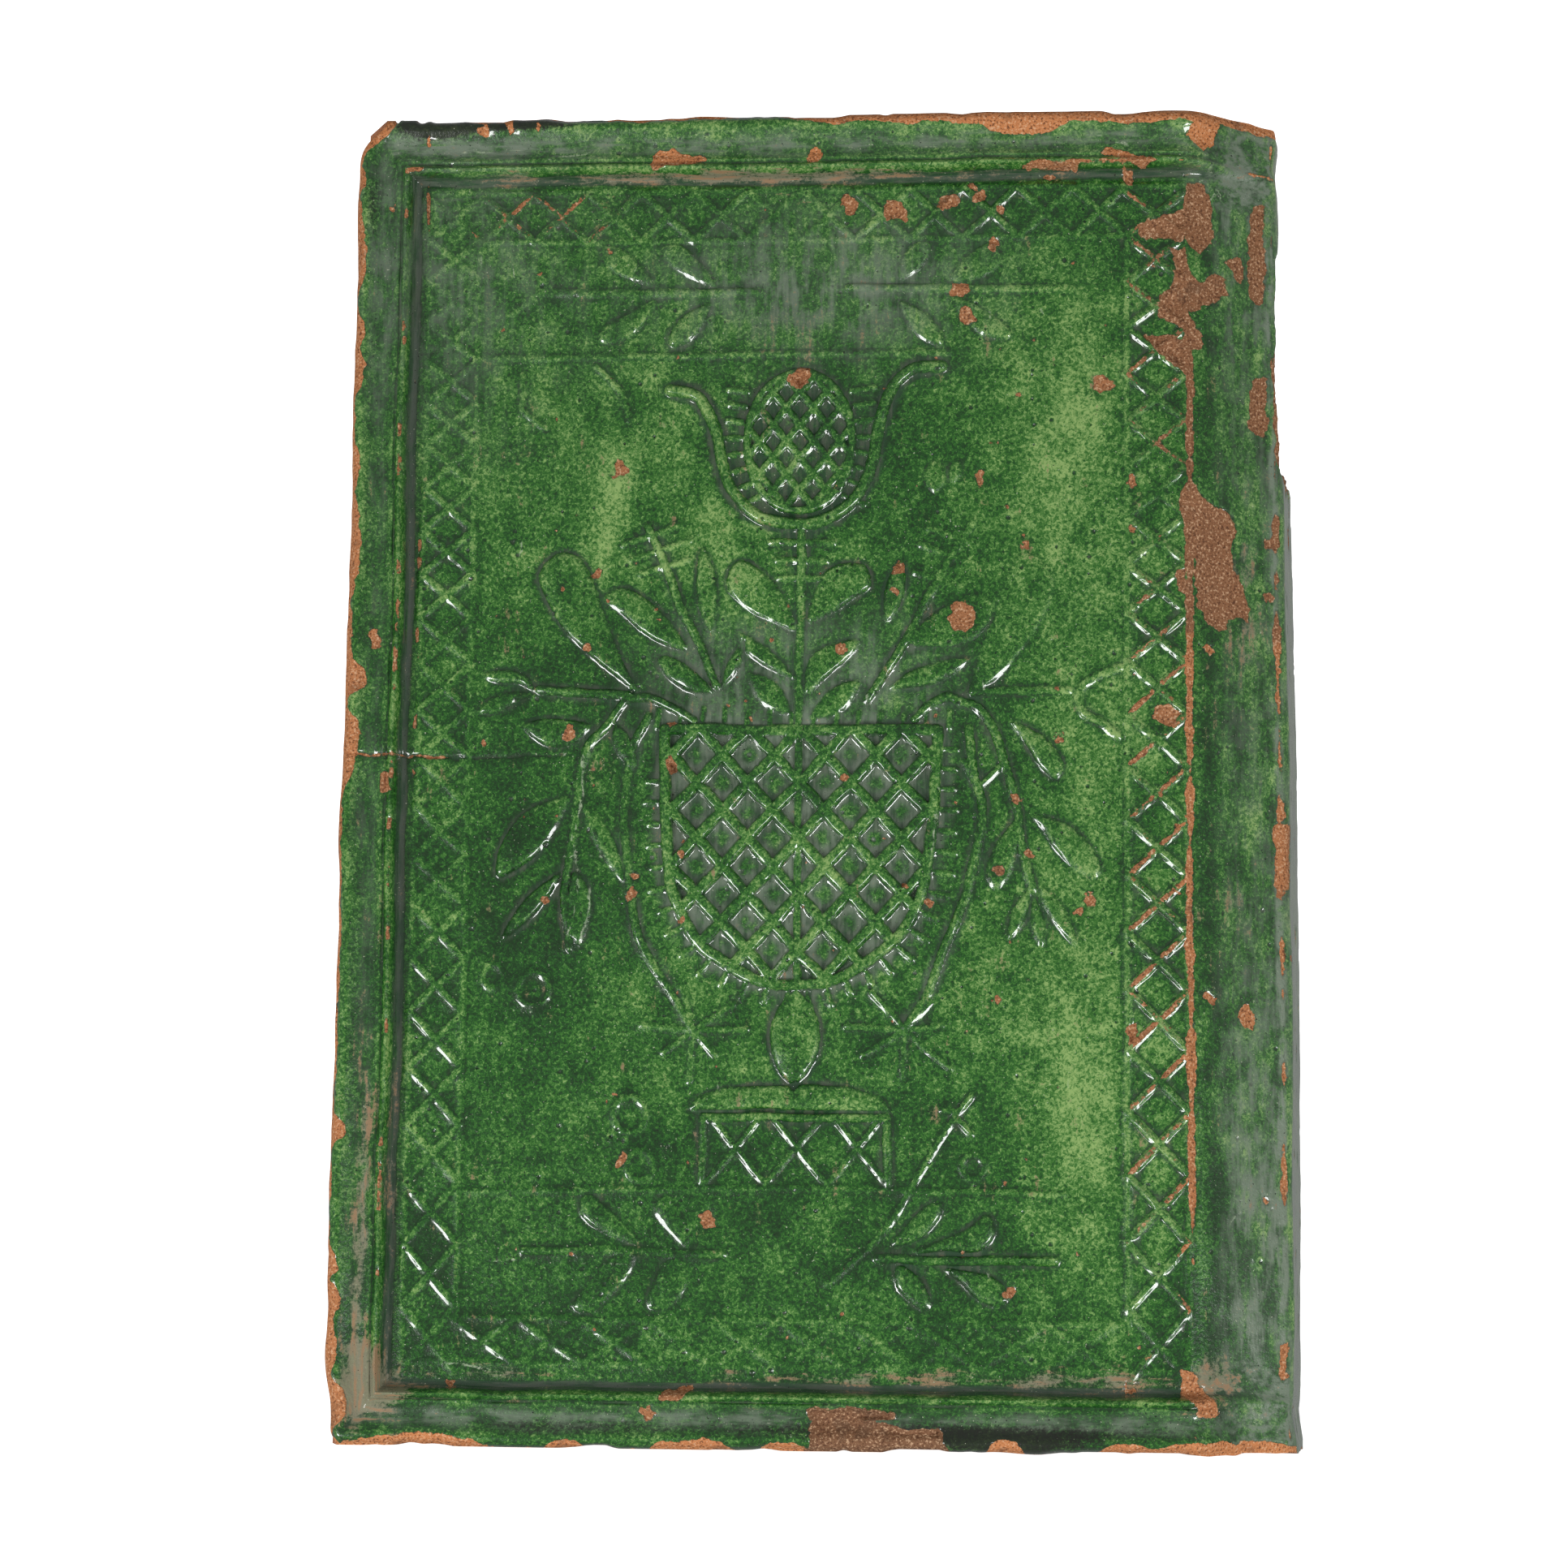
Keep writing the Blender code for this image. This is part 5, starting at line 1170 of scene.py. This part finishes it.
for a, b in zip(path, path[1:]):
    a, b = np.array(a), np.array(b)
    n = max(int(np.hypot(*(b - a)) / 6), 1)
    dense += [a + (b - a) * k / n for k in range(1, n + 1)]
SECTION_OF_WALL = (  # outwards from the wall's outer face, share of the way back
    (0, 0.0), (0, 0.35), (0, 0.7), (0, 0.86), (LIP * 0.6, 0.9), (LIP, 0.93), (LIP, 0.985), (LIP - 1, 1.0),
    (-BOX_WALL + 1, 1.0), (-BOX_WALL, 0.985), (-BOX_WALL, 0.7), (-BOX_WALL, 0.35), (-BOX_WALL, 0.0),
)
rng = np.random.default_rng(4)
bm = bmesh.new()
rings = []
for k, here in enumerate(dense):
    ahead = dense[min(k + 1, len(dense) - 1)] - dense[max(k - 1, 0)]
    out = np.array([-ahead[1], ahead[0]]) / np.hypot(*ahead) * -1
    shake = rng.normal(0, 0.16, (len(SECTION_OF_WALL), 2))
    loop = []
    for (away, share), (du, dv) in zip(SECTION_OF_WALL, shake):
        x, z = here + out * (away + du * (share > 0))
        end = k in (0, len(dense) - 1)
        y_low = WALL / 2 + max(x - ARRIS, 0) * math.tan(BAND_TURN)
        y = y_low + (DEEP - y_low) * share + dv * (0 < share < 1)
        if end:
            x = SIDE_X + max(y - SIDE_Y, 0) * math.tan(SPLAY) - SUNK
        loop.append(bm.verts.new((x, y, z)))
    rings.append(loop)
for a, b in zip(rings, rings[1:]):
    for k in range(len(a)):
        m = (k + 1) % len(a)
        bm.faces.new([a[k], a[m], b[m], b[k]])
bm.faces.new(rings[0][::-1])
bm.faces.new(rings[-1])
bmesh.ops.triangulate(bm, faces=bm.faces)
bmesh.ops.recalc_face_normals(bm, faces=bm.faces)
for face in bm.faces:
    face.material_index = CLAY
box_mesh = bpy.data.meshes.new("box_wall")
bm.to_mesh(box_mesh)
bm.free()
for mesh in (slab_mesh, box_mesh):
    for look in looks:
        mesh.materials.append(look)
box_wall = bpy.data.objects.new("box_wall", box_mesh)
scene.collection.objects.link(box_wall)
weld = tile.modifiers.new("weld", "BOOLEAN")
weld.operation, weld.solver, weld.object = "UNION", "MANIFOLD", box_wall
whole = bpy.data.meshes.new_from_object(tile.evaluated_get(bpy.context.evaluated_depsgraph_get()))
tile.modifiers.clear()
bpy.data.objects.remove(box_wall)
bm = bmesh.new()
bm.from_mesh(whole)
open_edges = sum(1 for e in bm.edges if not e.is_manifold)
print("welded:", len(bm.faces), "faces,", open_edges, "open edges,", round(bm.calc_volume() / 1000), "cm3")
print(sum(1 for face in bm.faces if face.material_index == CLAY), "of the faces are unglazed")
bm.free()

# %% Put the tile where the solid stands
whole.transform(Matrix.Scale(1 / 1000, 4) @ Matrix.Translation(to_row))
whole.name = "glazed_tile"
tile.data = whole
SHARP = math.radians(48)  # an edge that turns more than this is drawn as a sharp one
whole.shade_smooth()
whole.set_sharp_from_angle(angle=SHARP)

# %% [markdown]
# Colour. All colours are written as sRGB hex values and turned to linear light by one function. Another
# turns the size of a pattern's grains from millimetres into a texture scale, since object coordinates
# are in metres.

# %% Colour and scale
def linear(code):
    """An sRGB hex value as linear red, green, blue and alpha."""
    parts = [int(code[i : i + 2], 16) / 255 for i in (1, 3, 5)]
    return (*[c / 12.92 if c <= 0.04045 else ((c + 0.055) / 1.055) ** 2.4 for c in parts], 1.0)


def per(millimetres):
    """The scale of a texture whose grains are this large."""
    return 1000.0 / millimetres


MILLIMETRE = 0.001  # in Blender's metres


def shader_of(made):
    """The node tree of a material and its shader."""
    made.use_nodes = True
    return made.node_tree, made.node_tree.nodes["Principled BSDF"]


# %% [markdown]
# The glaze. A green lead glaze is glass coloured with copper: it lies over the red clay, pale where it is
# thin and almost black-green where it is thick, and it is never even, because copper and lead part into
# drops of a millimetre or less. The shader has a soft green body for the coloured glass and a clear coat
# on top for its shine. Where the chip distance is below zero the same shader turns into dry red clay
# with grains of sand, and the coat goes. A thin dark line of broken glass edges each chip.

# %% The fields that the glaze reads, and its grains
COLOUR = {"data_type": "RGBA"}
SOFT = {"interpolation_type": "SMOOTHSTEP"}
DRAWN_OUT = 0.16  # a brush stroke's grain is this much thicker than long
tree, shader = shader_of(looks[GLAZED])
where = add(tree, "ShaderNodeTexCoord").outputs["Object"]
field = {label: add(tree, "ShaderNodeAttribute", attribute_name=label).outputs["Fac"] for label in ATTRIBUTES}
upright = add(tree, "ShaderNodeMapping", {"Vector": where, "Scale": (1.0, 1.0, DRAWN_OUT)})
level = add(tree, "ShaderNodeMapping", {"Vector": where, "Scale": (DRAWN_OUT, 1.0, 1.0)})
grain = {}
for label, place, size, detail, rough, bent in (
    ("drops", where, 0.95, 3.0, 0.72, 0.6), ("cells", where, 1.8, 1.0, 0.6, 1.2),
    ("patches", where, 7.0, 3.0, 0.6, 0.0), ("standing", upright, 2.2, 3.0, 0.65, 0.0),
    ("lying", level, 1.6, 3.0, 0.65, 0.0), ("grit", where, 0.6, 1.0, 0.6, 0.0),
    ("jagged", where, 1.3, 2.0, 0.65, 0.0), ("fine", where, 0.8, 2.0, 0.65, 0.0),
    ("swelling", where, 3.2, 1.0, 0.5, 0.0),
):
    sizes = {"Vector": place, "Scale": per(size), "Detail": detail, "Roughness": rough, "Distortion": bent}
    grain[label] = add(tree, NOISE, sizes)
streaks = add(tree, MIX, {0: field["lying"], 2: grain["standing"], 3: grain["lying"]})
print(len(field), "fields and", len(grain), "grains")

# %% Masks that grow softly to their most as a field or a grain goes from start to end
mask = {}
for label, source, start, end, most in (
    ("pooled_glaze_and_shade", field["hollow"], 0.08, 0.42, 0.7), ("dusty", streaks, 0.42, 0.6, 1.0),
    ("brushed", streaks, 0.5, 0.62, 0.8), ("scored", field["scratch"], 0.42, 0.1, 1.0),
    ("skipping", grain["drops"], 0.4, 0.52, 0.75), ("pit", grain["grit"], 0.29, 0.23, 1.0),
    # The light specks are painted glints, small highlights at dents in the glaze.
    ("glint_speck", grain["grit"], 0.74, 0.78, 0.7), ("light sand", grain["grit"], 0.55, 0.7, 0.6),
    ("dark sand", grain["grit"], 0.46, 0.3, 0.8), ("smoky", grain["patches"], 0.55, 0.7, 0.5),
    ("dry", field["bare"], 0.3, -0.3, 0.35),
):
    mask[label] = add(tree, RANGE, {0: source, 1: start, 2: end, 4: most}, **SOFT)

# %% The green, from thin and pale to deep and dark, and painted shade in the hollows
from_middle = add(tree, MATH, {0: grain["cells"], 1: 0.5}, operation="SUBTRACT")
either_way = add(tree, MATH, {0: from_middle}, operation="ABSOLUTE")
veins = add(tree, RANGE, {0: either_way, 1: 0.05, 2: 0.0, 4: 0.32}, **SOFT)
mottled = add(tree, MATH, {0: grain["drops"], 1: 3.3, 2: -1.7}, operation="MULTIPLY_ADD")
veined = add(tree, MATH, {0: mottled, 1: veins}, operation="ADD")
toned = add(tree, MATH, {0: veined, 1: field["shade"]}, operation="ADD")
ramp = add(tree, "ShaderNodeValToRGB", {0: add(tree, RANGE, {0: toned, 1: -1.0, 2: 1.0}, **SOFT)})
GREENS = ((0.0, "#0c300c"), (0.28, "#174c14"), (0.5, "#2b651b"), (0.72, "#4e7d38"), (1.0, "#8aa962"))
for at, _ in GREENS[1:-1]:
    ramp.color_ramp.elements.new(at)
for element, (_, code) in zip(ramp.color_ramp.elements, GREENS):
    element.color = linear(code)
# In the hollows the green turns darker and greyer: partly deep pooled glaze, partly painted shade.
deep_colours = {0: mask["dusty"], 6: linear("#2b4631"), 7: linear("#515a4b")}
deep = add(tree, MIX, deep_colours, **COLOUR).outputs[2]
green = add(tree, MIX, {0: mask["pooled_glaze_and_shade"], 6: ramp, 7: deep}, **COLOUR).outputs[2]

# %% Grey bloom and painted reflections, the groove, grime, soot, pits, painted glints and scratches
clouds = add(tree, MATH, {0: streaks, 1: grain["patches"]}, operation="ADD")
film = add(tree, RANGE, {0: clouds, 1: 0.82, 2: 1.22, 3: 0.2, 4: 1.5}, **SOFT)
bloom_and_reflection, groove_pool_and_reflection = (
    add(tree, MATH, {0: field[label], 1: film}, operation="MULTIPLY", use_clamp=True)
    for label in ("pale", "groove")
)
crumbs = add(tree, MATH, {0: grain["drops"], 1: 0.9, 2: clouds}, operation="MULTIPLY_ADD")
grime = add(tree, MATH, {0: crumbs, 1: 1.6, 2: field["soil"]}, operation="MULTIPLY_ADD")
scum = add(tree, RANGE, {0: grime, 1: 2.7, 2: 3.2, 4: 0.85}, **SOFT)
sooty = add(tree, MATH, {0: grain["drops"], 1: field["soil"]}, operation="ADD")
soot = add(tree, RANGE, {0: sooty, 1: 0.2, 2: -0.35, 4: 0.9}, **SOFT)
rusty = add(tree, MATH, {0: mask["brushed"], 1: scum}, operation="MULTIPLY")
scratches = add(tree, MATH, {0: mask["scored"], 1: mask["skipping"]}, operation="MULTIPLY")
# Painted light in this list: the bloom carries painted reflections, the groove a painted grey reflection over
# its pooled glaze, and the glint specks are painted highlights.
for amount, code in (
    (bloom_and_reflection, "#6f7d6b"), (groove_pool_and_reflection, "#465246"), (scum, "#7f7a64"), (rusty, "#96704f"), (soot, "#15140f"),
    (mask["pit"], "#0a140c"), (scratches, "#a9b69a"), (mask["glint_speck"], "#b4b9a0"),
):
    green = add(tree, MIX, {0: amount, 6: green, 7: linear(code)}, **COLOUR).outputs[2]

# %% The clay in the chips
clay_colours = {0: field["old"], 6: linear("#c17d4e"), 7: linear("#7c583e")}
clay = add(tree, MIX, clay_colours, **COLOUR).outputs[2]
for label, code in (("light sand", "#dcb692"), ("dark sand", "#4f3020"), ("smoky", "#57402f")):
    clay = add(tree, MIX, {0: mask[label], 6: clay, 7: linear(code)}, **COLOUR).outputs[2]
jag_shift = add(tree, MATH, {0: grain["jagged"], 1: 1.1, 2: -0.55}, operation="MULTIPLY_ADD")
gone = add(tree, MATH, {0: field["bare"], 1: jag_shift}, operation="ADD")
glazed = add(tree, RANGE, {0: gone, 1: -0.08, 2: 0.08}, **SOFT)
near_chip = add(tree, RANGE, {0: gone, 1: 0.45, 2: 0.08, 4: 0.35}, **SOFT)
green = add(tree, MIX, {0: near_chip, 6: green, 7: linear("#20301e")}, **COLOUR).outputs[2]
body = add(tree, MIX, {0: glazed, 6: clay, 7: green}, **COLOUR).outputs[2]

# %% The shine of the glass, and the fine surface
uneven = add(tree, RANGE, {0: mask["pooled_glaze_and_shade"], 1: 0.0, 2: 0.7, 3: 1.0, 4: 0.0})
glassy = add(tree, MATH, {0: uneven, 1: 0.2, 2: 0.15}, operation="MULTIPLY_ADD")
grimy = add(tree, MATH, {0: scum, 1: 0.35, 2: glassy}, operation="MULTIPLY_ADD")
roughness = add(tree, MIX, {0: glazed, 2: 0.86, 3: grimy})
clean = add(tree, MATH, {0: scum, 1: -0.6, 2: 0.85}, operation="MULTIPLY_ADD")
coat = add(tree, MATH, {0: clean, 1: glazed}, operation="MULTIPLY")
fine_depth = add(tree, MATH, {0: uneven, 1: 0.16, 2: mask["dry"]}, operation="MULTIPLY_ADD")
fine = add(tree, MATH, {0: grain["fine"], 1: fine_depth}, operation="MULTIPLY")
rippled = add(tree, MATH, {0: grain["swelling"], 1: 0.10, 2: fine}, operation="MULTIPLY_ADD")
bump = add(tree, "ShaderNodeBump", {"Height": rippled, "Strength": 1.0, "Distance": MILLIMETRE})
feed(shader, {"Base Color": body, "Roughness": roughness, "Normal": bump, "IOR": 1.4})
feed(shader, {"Coat Weight": coat, "Coat Roughness": 0.08, "Coat IOR": 1.6})
print("glaze made of", len(tree.nodes), "nodes")

# %% [markdown]
# The back and the edges were never glazed. They show the fired clay, sanded from the mould, darkened by
# smoke inside the stove and with a pale film of the loam that it was set in.

# %% Bare fired earthenware for the edges and the back
tree, shader = shader_of(looks[CLAY])
where = add(tree, "ShaderNodeTexCoord").outputs["Object"]
noises = {}
for label, size, detail, rough in (
    ("grit", 0.6, 1.0, 0.6), ("firing", 18.0, 3.0, 0.5), ("soot", 45.0, 3.0, 0.6),
    ("loam", 22.0, 4.0, 0.68), ("grain", 0.7, 2.0, 0.7), ("hand", 5.0, 2.0, 0.5),
):
    sizes = {"Vector": where, "Scale": per(size), "Detail": detail, "Roughness": rough}
    noises[label] = add(tree, NOISE, sizes)
clay, films = linear("#b0714c"), {}
for label, start, end, most, code in (
    ("firing", 0.35, 0.65, 1.0, "#8a5c42"), ("grit", 0.56, 0.72, 0.5, "#dcb18c"),
    ("grit", 0.44, 0.28, 0.5, "#5f3a28"), ("soot", 0.48, 0.66, 0.7, "#3a2c25"),
    ("loam", 0.55, 0.68, 0.55, "#b7a085"),
):
    films[label] = add(tree, RANGE, {0: noises[label], 1: start, 2: end, 4: most}, **SOFT)
    clay = add(tree, MIX, {0: films[label], 6: clay, 7: linear(code)}, **COLOUR).outputs[2]
dusty = add(tree, MATH, {0: films["loam"], 1: 0.1, 2: 0.86}, operation="MULTIPLY_ADD")
waves = add(tree, MATH, {0: noises["hand"], 1: 0.5}, operation="MULTIPLY")
sandy = add(tree, MATH, {0: noises["grain"], 1: 0.25, 2: waves}, operation="MULTIPLY_ADD")
bump = add(tree, "ShaderNodeBump", {"Height": sandy, "Strength": 1.0, "Distance": MILLIMETRE})
feed(shader, {"Base Color": clay, "Roughness": dusty, "Normal": bump, "IOR": 1.45})
print("clay made of", len(tree.nodes), "nodes")

# %% Tie the dressed tile to the solid
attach(tile, "root")
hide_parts("stove_tile")

# %% [markdown]
# The picture. The photo was taken with a long lens from low in front and a little to the right, against
# pure white, with the light coming from below and in front: the lower flank of every ridge shines. The
# floor and the backdrop are one pale sheet with a soft bend, so no horizon shows.

# %% A pale floor that bends up into a backdrop
JUST_UNDER = 0.0002  # keeps the floor clear of the tile's foot


def bent_sheet(name, front, back, tall, wide, bend):
    """A sheet that lies on the floor, bends up and stands behind."""
    turns = np.linspace(0.1, math.pi / 2, 16)
    profile = [(-front, 0.0), (back - bend, 0.0)]
    profile += [(back - bend + bend * math.sin(a), bend - bend * math.cos(a)) for a in turns]
    profile.append((back, tall))
    verts = [(side * wide, y, z - JUST_UNDER) for y, z in profile for side in (-1, 1)]
    faces = [(2 * i, 2 * i + 1, 2 * i + 3, 2 * i + 2) for i in range(len(profile) - 1)]
    mesh = bpy.data.meshes.new(name)
    mesh.from_pydata(verts, [], faces)
    mesh.shade_smooth()
    obj = bpy.data.objects.new(name, mesh)
    scene.collection.objects.link(obj)
    return obj


backdrop = bent_sheet("paper_floor", front=2.5, back=1.6, tall=3.0, wide=3.0, bend=0.8)
paper = bpy.data.materials.new("lit_white_paper")
tree, shader = shader_of(paper)
white = linear("#ffffff")
feed(shader, {"Base Color": white, "Roughness": 0.95, "Emission Color": white, "Emission Strength": 1.0})
backdrop.data.materials.append(paper)
# The floor is a light table: the camera sees it white. It casts no light and no shadow on the tile.
paper.cycles.emission_sampling = "NONE"
backdrop.visible_diffuse = backdrop.visible_glossy = backdrop.visible_shadow = False

# %% The camera, from the measured view
YAW, PITCH, ROLL = (math.radians(a) for a in (4.589, 8.411, -0.683))
FROM_STEM = Vector((67.5, -887.5, 27.6))  # the lens, in millimetres from the foot of the stem
LENS_PIXELS, PHOTO_PIXELS, SENSOR = 4572, 1932, 36.0
aim = Matrix.Rotation(YAW, 3, "Z") @ Matrix.Rotation(PITCH, 3, "X") @ Matrix.Rotation(ROLL, 3, "Y")
right, forward, up = (aim @ Vector(axis) for axis in ((1, 0, 0), (0, 1, 0), (0, 0, 1)))
camera_data = bpy.data.cameras.new("camera")
camera_data.sensor_width = SENSOR
camera_data.lens = LENS_PIXELS / PHOTO_PIXELS * SENSOR
camera = bpy.data.objects.new("camera", camera_data)
pose = Matrix((right, up, -forward)).transposed().to_4x4()
pose.translation = (FROM_STEM + to_row) / 1000
camera.matrix_world = pose
scene.collection.objects.link(camera)
scene.camera = camera
print("lens", round(camera_data.lens, 1), "mm at", tuple(round(v, 3) for v in pose.translation))

# %% Two bright panels low at the sides, and soft fill from in front and above
def lamp(name, wide, tall, power, place, target):
    """A panel of light that faces a target and doesn't show in the picture."""
    data = bpy.data.lights.new(name, "AREA")
    data.shape, data.size, data.size_y = "RECTANGLE", wide, tall
    data.energy = power
    obj = bpy.data.objects.new(name, data)
    obj.location = place
    obj.rotation_euler = (Vector(target) - Vector(place)).to_track_quat("-Z", "Y").to_euler()
    obj.visible_camera = False
    scene.collection.objects.link(obj)
    return obj


LOW_POWER, FILL_POWER, SKY = 4.1, 4.4, 0.24
for side in (-1, 1):
    below, before = (0.03 + side * 0.6, -0.56, -0.27), (side * 1.0, -1.0, 0.45)
    lamp(f"low_lamp_{side + 1}", wide=0.38, tall=0.19, power=LOW_POWER, place=below, target=(0, 0, 0.17))
    # The fill isn't mirrored in the glaze, so the gleams come from the low panels alone.
    fill = lamp(f"fill_{side + 1}", wide=0.9, tall=0.9, power=FILL_POWER, place=before, target=(0, 0, 0.16))
    fill.visible_glossy = False
world = bpy.data.worlds.new("studio")
world.use_nodes = True
feed(world.node_tree.nodes["Background"], {0: white, 1: SKY})
scene.world = world
scene.view_settings.view_transform = "Standard"
